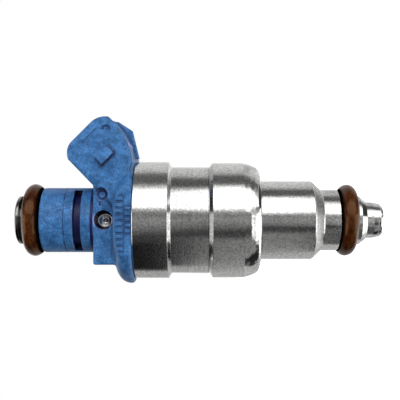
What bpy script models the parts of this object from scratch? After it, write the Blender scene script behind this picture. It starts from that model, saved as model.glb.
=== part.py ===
"""Top-feed petrol injector: an assembly of its separate pieces.

Units are metres with +Z up. The injector's axis is Z, with the fuel inlet at the top
and the nozzle at the bottom. The origin lies on the axis in the lower O-ring's mid-plane.
The electrical connector leans out towards +X and +Z. The armature and the needle move
together along Z.
"""

import math

import bmesh
import bpy
from mathutils import Matrix, Vector

MM = 0.001  # every dimension below is in millimetres

# Fits and fineness
FIT = 0.06  # clearance between pieces that touch on the real injector
MERGE = 1e-7  # metres
PAST = 1.0  # how far a cutter reaches past the surface that it opens
OUTER_SEGMENTS = 36
INNER_SEGMENTS = 24
NEEDLE_SEGMENTS = 16
SHARP_ANGLE = math.radians(32)

# Inlet tube, which is also the fixed core of the solenoid
INLET_TOP = 66.6
LIP_R = 4.9
LIP_HEIGHT = 0.8
LIP_FACE_R = 4.5  # the lip's end is flat out to here, and rounded past it
LIP_ROUND = 0.35
TUBE_R = 3.8
TUBE_BORE_R = 2.65
SLEEVE_BORE_R = 2.1
SLEEVE_BORE_TOP = 52.0
CORE_R = 5.2
CORE_TOP = 41.15
CORE_STEP = 33.2
POLE_R = 4.5
POLE_Z = 30.0
CRIMP_Z = 48.6
CRIMP_DEPTH = 0.75
CRIMP_R = 0.9
CRIMP_TIP_R = 0.36
CRIMP_STANDOFF = 0.25

# O-rings at the two ends: 7.5 mm bore and 3.5 mm section when new
ORING_SECTION_R = 1.77
UPPER_ORING_Z = 63.3
UPPER_ORING_R = 5.6
LOWER_ORING_R = 5.53

# Plastic overmould: neck, block, flange and connector
NECK_TOP = 61.4
NECK_R = 6.56
NECK_ROUND = 0.4
CLIP_GROOVE_TOP = 54.75
CLIP_GROOVE_BOTTOM = 53.3
CLIP_GROOVE_R = 5.3
CLIP_GROOVE_HALF_WIDTH = 5.95
BLOCK_TOP = 50.65
BLOCK_BACK_X = -8.6
BLOCK_FRONT_X = 7.8
BLOCK_HALF_Y = 6.8
BLOCK_ROUND = 0.5
FLANGE_TOP = 46.5
FLANGE_R = 12.8
FLANGE_SHOULDER_R = 9.2
FLANGE_WIDEST_Z = 43.6
FLANGE_FLAT_Y = 10.9
FLANGE_FOOT_R = 11.8
FLANGE_FOOT_ROUND = 0.64
WINDOW_R = 1.85
WINDOW_X = 0.2
LABEL_BARS = ((44.9, 0.9, 9.6), (43.5, 0.7, 5.0))  # height, width and length of each raised bar
LABEL_BAR_RAISE = 0.2
LABEL_BAR_SINK = 0.3

# Connector: its centre line crosses the axis at CROSSING_Z and leans CONNECTOR_LEAN
CROSSING_Z = 35.4
CONNECTOR_LEAN = math.radians(45)
MOUTH_REACH = 24.4
CONNECTOR_HALF_Y = 9.05
CONNECTOR_HALF_V = 5.8
CONNECTOR_ROUND = 0.6
MOUTH_FLAT_HALF = 2.55
MOUTH_DROP = 1.6
FRONT_HALF_V = 5.55  # the mouth's corner away from the can
FRONT_DROP = 2.0
HEEL_RADIUS = 12.1
HEEL_END_ANGLE = -86
FOOT_RUN = 2.0
FOOT_RISE = 0.8  # the connector and its rib end this far above the flange's foot
FRONT_SINK = 0.6
SOCKET_HALF_Y = 8.05
SOCKET_HALF_V = 4.45
SOCKET_DEPTH = 8.0
SOCKET_ROUND = 0.9
NUB_NEAR = 4.9  # the latch nub's ends, measured back from the mouth
NUB_FAR = 7.4
NUB_HALF_WIDTH = 1.6
NUB_RAISE = 0.9
NUB_SINK = 0.5
RIB_HALF_WIDTH = 0.7
RIB_ROOT = (0.3, 0.7)  # how far its root lies back from the mouth's corner, and inside
RIB_CREST = ((20.0, 46.3), (18.2, 43.5), (12.5, 42.1))  # x and z of the corners of its edge

# Blade terminals
BLADE_PITCH = 5.0
BLADE_HALF_WIDTH = 1.4
BLADE_HALF_THICK = 0.4
BLADE_RECESS = 2.5
BLADE_POINT = (0.9, 0.5, 0.25)  # the point's length, and how much narrower and thinner it ends
BLADE_END = 10.4  # behind the mouth
PIN_START = 11.0
PIN_HALF_WIDTH = 0.8
PIN_X = 7.4
PIN_BOTTOM = 40.5

# Steel housing around the solenoid
CAN_TOP = 42.7
CAN_BORE_R = 10.0
CAN_BANDS = ((11.88, 42.7, 35.95), (10.82, 35.4, 27.9), (11.72, 27.25, 21.1))  # radius, top, bottom
CAN_HEEL = ((11.45, 20.0), (11.1, 19.15), (10.75, 18.45), (10.3, 18.0), (9.5, 17.74))  # it turns under
CAN_FOOT_R = 8.9
CAN_FOOT = 17.6
CAN_LIP_TOP = 18.85
CAN_LIP_R = 8.09
CAN_EDGE = 0.2

# Solenoid
WASHER_TOP = 42.4
WASHER_BOTTOM = 41.3
WASHER_R = 9.9
WASHER_SLOT_X = 5.6
WASHER_SLOT_HALF_Y = 4.2
BOBBIN_TOP = 41.2
BOBBIN_BOTTOM = 27.0
BOBBIN_FLANGE = 1.3
BOBBIN_FLANGE_R = 9.7
BOBBIN_HUB_R = 6.2
BOBBIN_BORE_R = 5.3
SEAL_POCKET_R = 6.45
SEAL_POCKET_DEPTH = 1.2
SEAL_SECTION_R = 0.55
WINDING_R = 9.3
SHELL_BORE_R = 4.56
SHELL_BOTTOM = 24.6

# Valve body
BODY_TOP = 26.9
BODY_FLANGE_R = 9.9
BODY_SHOULDER = 19.2
BODY_R = 8.0
BODY_TAPER = ((8.0, 7.25), (7.85, 7.0), (6.35, 5.4))  # down to the lower body
BODY_TAPER_BOTTOM = 5.15
BODY_LOWER_R = 6.2
ORING_LAND = 1.85  # half the lower O-ring's groove
GROOVE_R = 3.72
NOSE_R = 3.65
NOSE_TOP = -3.8
NOSE_TAPER_TOP = -5.2
NOSE_ROUND_R = 3.4
NOSE_ROUND_TOP = -6.4
NOSE_BOTTOM = -7.4
NOSE_TIP_R = 2.3
CHAMBER_R = 4.8
CHAMBER_BOTTOM = 20.0
RIM_BORE_R = 5.25
NEEDLE_PASSAGE_R = 2.2
POCKET_TOP = -1.0
POCKET_R = 2.95
POCKET_BOTTOM = -6.7
CRIMPED_EDGE_R = 2.1
SHIM_THICK = 0.25
SHIM_BORE_R = 8.12
SHIM_R = 9.8

# Collar that holds the lower O-ring on
COLLAR_R = 4.95
COLLAR_CHAMFER_TOP = -2.55
COLLAR_BOTTOM = -3.7
COLLAR_FOOT_R = 4.1

# Moving parts
ARMATURE_R = 4.4
ARMATURE_TOP = 29.85
ARMATURE_BOTTOM = 21.5
SPRING_LEDGE = 27.0
SPRING_POCKET_R = 1.9
ARMATURE_DUCT_R = 1.3
ARMATURE_DUCT_BOTTOM = 25.0
CROSS_HOLE_Z = 26.0
CROSS_HOLE_R = 0.5
CROSS_HOLE_START = 0.9
NEEDLE_R = 1.0
NEEDLE_TOP = 24.9
EYELET_TOP = 23.9
EYELET_BOTTOM = 22.9

# Valve seat
SEAT_TOP = -1.65
SEAT_BOTTOM = -5.3
SEAT_CONE_MOUTH_R = 1.9
SEAT_HOLE_R = 0.5
SEAT_CONE_FOOT = -4.6
GUIDE_BOTTOM = -1.55
GUIDE_FLOW_R = 0.4
GUIDE_FLOW_OFFSET = 2.0
ORIFICE_THICK = 0.2
ORIFICE_R = 0.15
ORIFICE_OFFSET = 0.3
BACKUP_HOLE_R = 1.5

# Fuel filter, adjusting sleeve and return spring
FILTER_TOP = 66.0
FILTER_COLLAR_BOTTOM = 63.2
FILTER_COLLAR_BORE_R = 2.1
BASKET_R = 2.04
BASKET_BORE_R = 1.5
BASKET_TOP = 65.4
BASKET_BOTTOM = 53.2
BASKET_FLOOR = 54.4
BASKET_CHAMFER = 0.5
BASKET_WINDOW_BOTTOM = 54.8
BASKET_WINDOW_TOP = 62.6
BASKET_WINDOW_HALF = 0.95
GAUZE_THICK = 0.12
GAUZE_TOP = 63.2
SLEEVE_TOP = 51.0
SLEEVE_BOTTOM = 38.0
SLEEVE_INNER_R = 1.2
SLEEVE_SLIT_HALF = 0.25
SPRING_R = 1.45
SPRING_WIRE_R = 0.28
SPRING_TURNS = 9
SPRING_END_TURNS = 1.5
SPRING_CLOSED_PITCH = 0.6
SPRING_STEPS = 10  # points to a turn

CONNECTOR_COS = math.cos(CONNECTOR_LEAN)
CONNECTOR_SIN = math.sin(CONNECTOR_LEAN)


# ---- tools ------------------------------------------------------------------------------

def finish(name, colour, metallic, roughness):
    """A Principled BSDF material."""
    made = bpy.data.materials.new(name)
    made.use_nodes = True
    shader = made.node_tree.nodes["Principled BSDF"]
    shader.inputs["Base Color"].default_value = (*colour, 1.0)
    shader.inputs["Metallic"].default_value = metallic
    shader.inputs["Roughness"].default_value = roughness
    made.diffuse_color = (*colour, 1.0)
    return made


def add_object(name, bm, look):
    """Turns a bmesh into a named object with smooth shading and crisp corners."""
    mesh = bpy.data.meshes.new(name)
    bm.to_mesh(mesh)
    bm.free()
    mesh.shade_smooth()
    mesh.set_sharp_from_angle(angle=SHARP_ANGLE)
    if look:
        mesh.materials.append(look)
    made = bpy.data.objects.new(name, mesh)
    bpy.context.scene.collection.objects.link(made)
    return made


def arc(centre, radii, start, end, steps):
    """Points on an ellipse's arc. Angles are in degrees, from +r towards +z."""
    angles = [math.radians(start + (end - start) * n / steps) for n in range(steps + 1)]
    return [(centre[0] + radii[0] * math.cos(a), centre[1] + radii[1] * math.sin(a)) for a in angles]


def turned(name, outline, look, segments=OUTER_SEGMENTS):
    """A piece turned about Z from a closed outline of (radius, height) points."""
    bm = bmesh.new()
    corners = [bm.verts.new((r * MM, 0.0, z * MM)) for r, z in outline]
    sides = [
        bm.edges.new(pair)
        for pair in zip(corners, corners[1:] + corners[:1])
        if any(corner.co.x > 0.0 for corner in pair)
    ]
    bmesh.ops.spin(bm, geom=corners + sides, cent=(0, 0, 0), axis=(0, 0, 1), angle=math.tau, steps=segments)
    bmesh.ops.remove_doubles(bm, verts=bm.verts, dist=MERGE)
    bmesh.ops.recalc_face_normals(bm, faces=bm.faces)
    return add_object(name, bm, look)


def ring(name, inner, outer, top, bottom, look, segments=INNER_SEGMENTS):
    """A plain washer or tube."""
    return turned(name, [(inner, top), (outer, top), (outer, bottom), (inner, bottom)], look, segments)


def o_ring(name, centre_r, section_r, height, look, segments=OUTER_SEGMENTS, sides=10):
    """A torus about Z."""
    outline = arc((centre_r, height), (section_r, section_r), 0, 360, sides)[:-1]
    return turned(name, outline, look, segments)


def block(name, low, high, look=None, rounding=0.0, rounding_steps=2):
    """A box between two corners, with its edges rounded."""
    bm = bmesh.new()
    size = [(b - a) * MM for a, b in zip(low, high)]
    middle = [(a + b) / 2 * MM for a, b in zip(low, high)]
    bmesh.ops.create_cube(bm, size=1.0, matrix=Matrix.Translation(middle) @ Matrix.Diagonal((*size, 1.0)))
    if rounding:
        bmesh.ops.bevel(
            bm, geom=bm.edges, offset=rounding * MM, segments=rounding_steps, profile=0.5, affect="EDGES"
        )
    return add_object(name, bm, look)


def drills(name, radius, start, end, places, segments=12):
    """Several round cutters in one tool. Each place is a matrix that carries +Z onto a drill's axis."""
    bm = bmesh.new()
    for place in places:
        bmesh.ops.create_cone(
            bm,
            cap_ends=True,
            segments=segments,
            radius1=radius * MM,
            radius2=radius * MM,
            depth=(end - start) * MM,
            matrix=place @ Matrix.Translation((0, 0, (start + end) / 2 * MM)),
        )
    return add_object(name, bm, None)


def around(count, first=0.0):
    """Turns about Z, evenly spaced."""
    return [Matrix.Rotation(first + math.tau * n / count, 4, "Z") for n in range(count)]


def combine(target, tool, operation):
    """Joins or cuts target with tool, and keeps tool out of the model."""
    tool.hide_render = True
    tool.display_type = "WIRE"
    step = target.modifiers.new(tool.name, "BOOLEAN")
    step.operation = operation
    step.solver = "EXACT"
    step.object = tool


def cut(target, *tools):
    for tool in tools:
        combine(target, tool, "DIFFERENCE")


def join(target, *tools):
    for tool in tools:
        combine(target, tool, "UNION")


def connector_point(u, v):
    """Where (u, v) lies in (x, z): u runs out of the connector's mouth, v across it towards the can."""
    x = (MOUTH_REACH + u) * CONNECTOR_SIN + v * CONNECTOR_COS
    z = CROSSING_Z + (MOUTH_REACH + u) * CONNECTOR_COS - v * CONNECTOR_SIN
    return x, z


def slab(name, outline, half_y, look=None):
    """A closed outline of (x, z) points, extruded across Y."""
    bm = bmesh.new()
    face = bm.faces.new([bm.verts.new((x * MM, -half_y * MM, z * MM)) for x, z in outline])
    grown = bmesh.ops.extrude_face_region(bm, geom=[face])["geom"]
    moved = [part for part in grown if isinstance(part, bmesh.types.BMVert)]
    bmesh.ops.translate(bm, vec=(0, 2 * half_y * MM, 0), verts=moved)
    bmesh.ops.recalc_face_normals(bm, faces=bm.faces)
    return add_object(name, bm, look)


# ---- plastic overmould ------------------------------------------------------------------

def mouth_side(side, half_v, drop):
    """One rounded side of the mouth, from the end of its flat to its corner."""
    run = half_v - MOUTH_FLAT_HALF
    radius = (run**2 + drop**2) / (2 * drop)
    sweep = math.degrees(math.asin(run / radius))
    return arc((-radius, side * MOUTH_FLAT_HALF), (radius, radius), 0, side * sweep, 3)


def connector_outline():
    """The connector from the side: rounded mouth, straight back, and a heel that turns along the can."""
    front = mouth_side(-1, FRONT_HALF_V, FRONT_DROP)
    back = mouth_side(1, CONNECTOR_HALF_V, MOUTH_DROP)
    mouth = [connector_point(u, v) for u, v in front[::-1] + back]
    back_u, back_v = -MOUTH_DROP, CONNECTOR_HALF_V
    edge_x, edge_z = connector_point(back_u, back_v)
    corner_x = edge_x - (edge_z - CAN_TOP - FIT) * math.tan(CONNECTOR_LEAN)
    tangent = HEEL_RADIUS * math.tan((math.pi / 2 - CONNECTOR_LEAN) / 2)
    centre = (corner_x - tangent, CAN_TOP + FIT + HEEL_RADIUS)
    heel = arc(centre, (HEEL_RADIUS, HEEL_RADIUS), -math.degrees(CONNECTOR_LEAN), HEEL_END_ANGLE, 6)
    front_x, front_z = connector_point(0, -CONNECTOR_HALF_V)
    inside_flange_z = FLANGE_WIDEST_Z + FRONT_SINK
    front_foot = (front_x - (front_z - inside_flange_z) * math.tan(CONNECTOR_LEAN), inside_flange_z)
    return mouth + heel + [(heel[-1][0] - FOOT_RUN, CAN_TOP + FOOT_RISE), front_foot]


def connector_nub(side):
    """The latch nub on one side face: flush near the mouth, and rising to a catch away from it."""
    face = CONNECTOR_HALF_Y * side
    top = (CONNECTOR_HALF_Y + NUB_RAISE) * side
    sunk = (CONNECTOR_HALF_Y - NUB_SINK) * side
    bm = bmesh.new()
    outline = [(-NUB_NEAR, sunk), (-NUB_NEAR, face), (-NUB_FAR, top), (-NUB_FAR, sunk)]
    ends = []
    for v in (-NUB_HALF_WIDTH, NUB_HALF_WIDTH):
        points = [(*connector_point(u, v), y) for u, y in outline]
        ends.append([bm.verts.new((x * MM, y * MM, z * MM)) for x, z, y in points])
    bm.faces.new(ends[0])
    bm.faces.new(list(reversed(ends[1])))
    for n in range(4):
        bm.faces.new([ends[0][n - 1], ends[1][n - 1], ends[1][n], ends[0][n]])
    bmesh.ops.recalc_face_normals(bm, faces=bm.faces)
    return add_object("nub_tool_left" if side > 0 else "nub_tool_right", bm, None)


def connector_rib():
    """The rib down the middle of the connector's back, which fades out along the heel."""
    start = connector_point(-MOUTH_DROP, CONNECTOR_HALF_V)
    root = connector_point(-MOUTH_DROP - RIB_ROOT[0], CONNECTOR_HALF_V - RIB_ROOT[1])
    foot = (RIB_CREST[-1][0], CAN_TOP + FOOT_RISE)
    return slab("rib_tool", [start, *RIB_CREST, foot, root], RIB_HALF_WIDTH)


def socket_cutter():
    """The hollow that the plug's nose fills."""
    bm = bmesh.new()
    size = (2 * SOCKET_HALF_V, 2 * SOCKET_HALF_Y, SOCKET_DEPTH + 2 * PAST)
    bmesh.ops.create_cube(bm, size=MM, matrix=Matrix.Diagonal((*size, 1.0)))
    long_edges = [e for e in bm.edges if abs(e.verts[0].co.z - e.verts[1].co.z) > MM]
    bmesh.ops.bevel(bm, geom=long_edges, offset=SOCKET_ROUND * MM, segments=2, profile=0.5, affect="EDGES")
    x, z = connector_point(PAST - SOCKET_DEPTH / 2, 0)
    place = Matrix.Translation((x * MM, 0, z * MM)) @ Matrix.Rotation(CONNECTOR_LEAN, 4, "Y")
    bmesh.ops.transform(bm, matrix=place, verts=bm.verts)
    return add_object("socket_tool", bm, None)


def clip_groove_cutter(side):
    """The groove for the retaining clip, open on one flat side of the neck."""
    ring_tool = ring(
        "clip_groove_tool_left" if side > 0 else "clip_groove_tool_right",
        CLIP_GROOVE_R, NECK_R + PAST, CLIP_GROOVE_TOP, CLIP_GROOVE_BOTTOM, None, OUTER_SEGMENTS,
    )
    low_y, high_y = sorted((0.5 * side, (NECK_R + 2 * PAST) * side))
    keep = block(
        "clip_side_tool_left" if side > 0 else "clip_side_tool_right",
        (-CLIP_GROOVE_HALF_WIDTH, low_y, CLIP_GROOVE_BOTTOM - PAST),
        (CLIP_GROOVE_HALF_WIDTH, high_y, CLIP_GROOVE_TOP + PAST),
    )
    combine(ring_tool, keep, "INTERSECT")
    return ring_tool


def label_bar(height, width, length, side):
    """A plain raised bar on the flange's flat."""
    low_y, high_y = sorted(
        (side * (FLANGE_FLAT_Y - LABEL_BAR_SINK), side * (FLANGE_FLAT_Y + LABEL_BAR_RAISE))
    )
    low = (-length / 2, low_y, height - width / 2)
    high = (length / 2, high_y, height + width / 2)
    return block(f"bar_tool_{height}_{'left' if side > 0 else 'right'}", low, high)


def make_overmold(look, blade_cutters):
    """Neck, block, flange and connector, moulded in one around the inlet tube and the terminals."""
    flange_rise = FLANGE_TOP - FLANGE_WIDEST_Z
    flange_reach = FLANGE_R - FLANGE_SHOULDER_R
    foot_reach = FLANGE_R - FLANGE_FOOT_R
    foot = CAN_TOP + FIT
    body = turned(
        "overmold_body",
        [(0, FLANGE_TOP)]
        + arc((FLANGE_SHOULDER_R, FLANGE_WIDEST_Z), (flange_reach, flange_rise), 90, 0, 6)
        + arc((FLANGE_FOOT_R, foot + FLANGE_FOOT_ROUND), (foot_reach, FLANGE_FOOT_ROUND), 0, -90, 3)
        + [(0, foot)],
        look,
    )
    past_flange = FLANGE_R + PAST
    flats = block(
        "flange_flats_tool",
        (-past_flange, -FLANGE_FLAT_Y, foot - PAST),
        (past_flange, FLANGE_FLAT_Y, FLANGE_TOP + PAST),
    )
    combine(body, flats, "INTERSECT")
    neck = turned(
        "neck_tool",
        [(0, NECK_TOP)]
        + arc((NECK_R - NECK_ROUND, NECK_TOP - NECK_ROUND), (NECK_ROUND, NECK_ROUND), 90, 0, 2)
        + [(NECK_R, FLANGE_WIDEST_Z), (0, FLANGE_WIDEST_Z)],
        None,
    )
    waist = block(
        "waist_tool",
        (BLOCK_BACK_X, -BLOCK_HALF_Y, FLANGE_WIDEST_Z),
        (BLOCK_FRONT_X, BLOCK_HALF_Y, BLOCK_TOP),
        rounding=BLOCK_ROUND,
    )
    connector = slab("connector_tool", connector_outline(), CONNECTOR_HALF_Y)
    rounding = connector.modifiers.new("rounded_edges", "BEVEL")
    rounding.width = CONNECTOR_ROUND * MM
    rounding.segments = 2
    rounding.limit_method = "ANGLE"
    rounding.angle_limit = math.radians(60)
    join(body, neck, waist, connector, connector_rib(), connector_nub(1), connector_nub(-1))
    join(body, *[label_bar(*bar, side) for side in (1, -1) for bar in LABEL_BARS])
    window_place = Matrix.Translation((WINDOW_X * MM, 0, CRIMP_Z * MM))
    window_place = window_place @ Matrix.Rotation(math.pi / 2, 4, "X")
    past_block = BLOCK_HALF_Y + PAST
    window = drills("window_tool", WINDOW_R, -past_block, past_block, [window_place], INNER_SEGMENTS)
    bore = ring("bore_tool", 0, TUBE_R + FIT, NECK_TOP + PAST, CAN_TOP - PAST, None, OUTER_SEGMENTS)
    cut(body, clip_groove_cutter(1), clip_groove_cutter(-1), socket_cutter(), window, bore, *blade_cutters)


# ---- electrical parts -------------------------------------------------------------------

def blade(name, side, look, grow=0.0):
    """A terminal: a flat blade in the socket that narrows, bends down and ends as a pin in the bobbin."""
    middle_y = side * BLADE_PITCH / 2
    across = math.degrees(CONNECTOR_LEAN)
    bend_x, bend_z = PIN_X, connector_point(0, 0)[1] - (connector_point(0, 0)[0] - PIN_X)
    mitre = 1 / math.cos(CONNECTOR_LEAN / 2)
    tip = -BLADE_RECESS + grow
    point_length, point_narrow, point_thin = BLADE_POINT
    stations = [
        (*connector_point(tip, 0), across, BLADE_HALF_WIDTH - point_narrow, BLADE_HALF_THICK - point_thin),
        (*connector_point(tip - point_length, 0), across, BLADE_HALF_WIDTH, BLADE_HALF_THICK),
        (*connector_point(-BLADE_END, 0), across, BLADE_HALF_WIDTH, BLADE_HALF_THICK),
        (*connector_point(-PIN_START, 0), across, PIN_HALF_WIDTH, BLADE_HALF_THICK),
        (bend_x, bend_z, across / 2, PIN_HALF_WIDTH, BLADE_HALF_THICK * mitre),
        (PIN_X, PIN_BOTTOM - grow, 0, PIN_HALF_WIDTH, BLADE_HALF_THICK),
    ]
    bm = bmesh.new()
    loops = []
    for x, z, turn, half_width, half_thick in stations:
        thick = half_thick + grow
        wide = half_width + grow
        side_x = math.cos(math.radians(turn)) * thick
        side_z = -math.sin(math.radians(turn)) * thick
        corners = [(1, 1), (-1, 1), (-1, -1), (1, -1)]
        points = [(x + a * side_x, middle_y + b * wide, z + a * side_z) for a, b in corners]
        loops.append([bm.verts.new(Vector(p) * MM) for p in points])
    for upper, lower in zip(loops, loops[1:]):
        for n in range(4):
            bm.faces.new([upper[n - 1], upper[n], lower[n], lower[n - 1]])
    bm.faces.new(loops[0])
    bm.faces.new(list(reversed(loops[-1])))
    bmesh.ops.recalc_face_normals(bm, faces=bm.faces)
    return add_object(name, bm, look)


def make_solenoid(looks, blade_cutters):
    """Bobbin, winding, its two seals, and the washer that carries the flux over the top."""
    pocket_top = BOBBIN_TOP - SEAL_POCKET_DEPTH
    pocket_bottom = BOBBIN_BOTTOM + SEAL_POCKET_DEPTH
    hub_top = BOBBIN_TOP - BOBBIN_FLANGE
    hub_bottom = BOBBIN_BOTTOM + BOBBIN_FLANGE
    bobbin = turned(
        "coil_bobbin",
        [
            (SEAL_POCKET_R, BOBBIN_TOP), (BOBBIN_FLANGE_R, BOBBIN_TOP), (BOBBIN_FLANGE_R, hub_top),
            (BOBBIN_HUB_R, hub_top), (BOBBIN_HUB_R, hub_bottom), (BOBBIN_FLANGE_R, hub_bottom),
            (BOBBIN_FLANGE_R, BOBBIN_BOTTOM), (SEAL_POCKET_R, BOBBIN_BOTTOM),
            (SEAL_POCKET_R, pocket_bottom), (BOBBIN_BORE_R, pocket_bottom),
            (BOBBIN_BORE_R, pocket_top), (SEAL_POCKET_R, pocket_top),
        ],
        looks["bobbin"],
        INNER_SEGMENTS,
    )
    cut(bobbin, *blade_cutters)
    ring("coil_winding", BOBBIN_HUB_R + FIT, WINDING_R, hub_top - FIT, hub_bottom + FIT, looks["copper"])
    washer = ring("flux_washer", TUBE_R + FIT, WASHER_R, WASHER_TOP, WASHER_BOTTOM, looks["steel"])
    slot = block(
        "washer_slot_tool",
        (WASHER_SLOT_X, -WASHER_SLOT_HALF_Y, WASHER_BOTTOM - PAST),
        (WASHER_R + PAST, WASHER_SLOT_HALF_Y, WASHER_TOP + PAST),
    )
    cut(washer, slot)
    seal_r = CORE_R + SEAL_SECTION_R + FIT
    seal_offset = SEAL_SECTION_R + FIT / 2
    for name, height in (
        ("upper_bobbin_seal", BOBBIN_TOP - seal_offset),
        ("lower_bobbin_seal", BOBBIN_BOTTOM + seal_offset),
    ):
        o_ring(name, seal_r, SEAL_SECTION_R, height, looks["seal"], INNER_SEGMENTS, 8)


def make_can(look):
    """The steel housing: three bands with chamfers between them, rolled in under the valve body."""
    top, waist, foot = CAN_BANDS
    outline = [(CAN_BORE_R, top[1]), (top[0] - CAN_EDGE, top[1]), (top[0], top[1] - CAN_EDGE)]
    outline += [(top[0], top[2]), (waist[0], waist[1]), (waist[0], waist[2]), (foot[0], foot[1])]
    outline += [(foot[0], foot[2]), *CAN_HEEL, (CAN_FOOT_R, CAN_FOOT)]
    outline += [(CAN_LIP_R, CAN_FOOT), (CAN_LIP_R, CAN_LIP_TOP), (CAN_BORE_R, CAN_LIP_TOP)]
    turned("solenoid_can", outline, look)


# ---- fuel path --------------------------------------------------------------------------

def make_inlet_core(look):
    """The tube that the fuel enters by. Its lower end is the solenoid's pole."""
    core = turned(
        "inlet_core",
        [(TUBE_BORE_R, INLET_TOP)]
        + arc((LIP_FACE_R, INLET_TOP - LIP_ROUND), (LIP_R - LIP_FACE_R, LIP_ROUND), 90, 0, 4)
        + [
            (LIP_R, INLET_TOP - LIP_HEIGHT), (TUBE_R, INLET_TOP - LIP_HEIGHT), (TUBE_R, CORE_TOP),
            (CORE_R, CORE_TOP), (CORE_R, CORE_STEP), (POLE_R, CORE_STEP), (POLE_R, POLE_Z),
            (SLEEVE_BORE_R, POLE_Z), (SLEEVE_BORE_R, SLEEVE_BORE_TOP - TUBE_BORE_R + SLEEVE_BORE_R),
            (TUBE_BORE_R, SLEEVE_BORE_TOP),
        ],
        look,
    )
    for side, name in ((1, "crimp_tool_right"), (-1, "crimp_tool_left")):
        bm = bmesh.new()
        place = Matrix.Translation((0, -side * (TUBE_R + CRIMP_STANDOFF) * MM, CRIMP_Z * MM))
        bmesh.ops.create_cone(
            bm,
            cap_ends=True,
            segments=12,
            radius1=CRIMP_R * MM,
            radius2=CRIMP_TIP_R * MM,
            depth=2 * CRIMP_DEPTH * MM,
            matrix=place @ Matrix.Rotation(-side * math.pi / 2, 4, "X"),
        )
        cut(core, add_object(name, bm, None))


def make_filter(looks):
    """Filter basket: brass collar, moulded frame and the gauze inside it."""
    ring(
        "filter_collar",
        FILTER_COLLAR_BORE_R, TUBE_BORE_R - FIT, FILTER_TOP, FILTER_COLLAR_BOTTOM, looks["brass"],
    )
    frame = turned(
        "filter_frame",
        [
            (BASKET_BORE_R, BASKET_TOP), (BASKET_R, BASKET_TOP), (BASKET_R, BASKET_FLOOR),
            (BASKET_R - BASKET_CHAMFER, BASKET_BOTTOM), (0, BASKET_BOTTOM), (0, BASKET_FLOOR),
            (BASKET_BORE_R, BASKET_FLOOR),
        ],
        looks["nylon"],
        INNER_SEGMENTS,
    )
    half, reach = BASKET_WINDOW_HALF, BASKET_R + PAST
    for name, reach_x, reach_y in (("basket_tool_x", reach, half), ("basket_tool_y", half, reach)):
        low, high = (-reach_x, -reach_y, BASKET_WINDOW_BOTTOM), (reach_x, reach_y, BASKET_WINDOW_TOP)
        cut(frame, block(name, low, high))
    gauze_r = BASKET_BORE_R - FIT
    ring("filter_mesh", gauze_r - GAUZE_THICK, gauze_r, GAUZE_TOP, BASKET_FLOOR + FIT, looks["gauze"])


def make_spring(look):
    """Return spring: closed turns at each end and open ones between them."""
    low, high = SPRING_LEDGE + FIT + SPRING_WIRE_R, SLEEVE_BOTTOM - FIT - SPRING_WIRE_R
    closed_rise = SPRING_END_TURNS * SPRING_CLOSED_PITCH
    open_turns = SPRING_TURNS - 2 * SPRING_END_TURNS
    open_pitch = (high - low - 2 * closed_rise) / open_turns
    curve = bpy.data.curves.new("return_spring", "CURVE")
    curve.dimensions = "3D"
    curve.bevel_depth = SPRING_WIRE_R * MM
    curve.bevel_resolution = 1
    curve.use_fill_caps = True
    spline = curve.splines.new("POLY")
    count = SPRING_TURNS * SPRING_STEPS
    spline.points.add(count)
    for n, point in enumerate(spline.points):
        turn = n / SPRING_STEPS
        first = min(turn, SPRING_END_TURNS)
        middle = min(max(turn - SPRING_END_TURNS, 0.0), open_turns)
        last = max(turn - SPRING_END_TURNS - open_turns, 0.0)
        height = low + (first + last) * SPRING_CLOSED_PITCH + middle * open_pitch
        angle = math.tau * turn
        point.co = (
            SPRING_R * math.cos(angle) * MM, SPRING_R * math.sin(angle) * MM, height * MM, 1.0
        )
    curve.materials.append(look)
    made = bpy.data.objects.new("return_spring", curve)
    bpy.context.scene.collection.objects.link(made)


def make_sleeve(look):
    """The slit sleeve that sets the spring's force, held by the crimps in the inlet tube."""
    sleeve = ring("adjusting_sleeve", SLEEVE_INNER_R, SLEEVE_BORE_R - FIT, SLEEVE_TOP, SLEEVE_BOTTOM, look)
    slit = block(
        "slit_tool",
        (0, -SLEEVE_SLIT_HALF, SLEEVE_BOTTOM - PAST),
        (SLEEVE_BORE_R + PAST, SLEEVE_SLIT_HALF, SLEEVE_TOP + PAST),
    )
    cut(sleeve, slit)


def make_valve_body(look):
    """The stepped body below the solenoid, down to the nose that fits the manifold."""
    outline = [(RIM_BORE_R, BODY_TOP), (BODY_FLANGE_R, BODY_TOP), (BODY_FLANGE_R, BODY_SHOULDER)]
    outline += [(BODY_R, BODY_SHOULDER), *BODY_TAPER, (BODY_LOWER_R, BODY_TAPER_BOTTOM)]
    outline += [(BODY_LOWER_R, ORING_LAND), (GROOVE_R, ORING_LAND), (GROOVE_R, NOSE_TOP)]
    outline += [(NOSE_R, NOSE_TOP), (NOSE_R, NOSE_TAPER_TOP)]
    outline += arc(
        (NOSE_TIP_R, NOSE_ROUND_TOP), (NOSE_ROUND_R - NOSE_TIP_R, NOSE_ROUND_TOP - NOSE_BOTTOM), 0, -90, 3
    )
    outline += [(CRIMPED_EDGE_R, NOSE_BOTTOM), (CRIMPED_EDGE_R, POCKET_BOTTOM), (POCKET_R, POCKET_BOTTOM)]
    outline += [(POCKET_R, POCKET_TOP), (NEEDLE_PASSAGE_R, POCKET_TOP), (NEEDLE_PASSAGE_R, CHAMBER_BOTTOM)]
    outline += [(CHAMBER_R, CHAMBER_BOTTOM), (CHAMBER_R, SHELL_BOTTOM - FIT)]
    outline += [(RIM_BORE_R, SHELL_BOTTOM - FIT)]
    turned("valve_body", outline, look)


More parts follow.
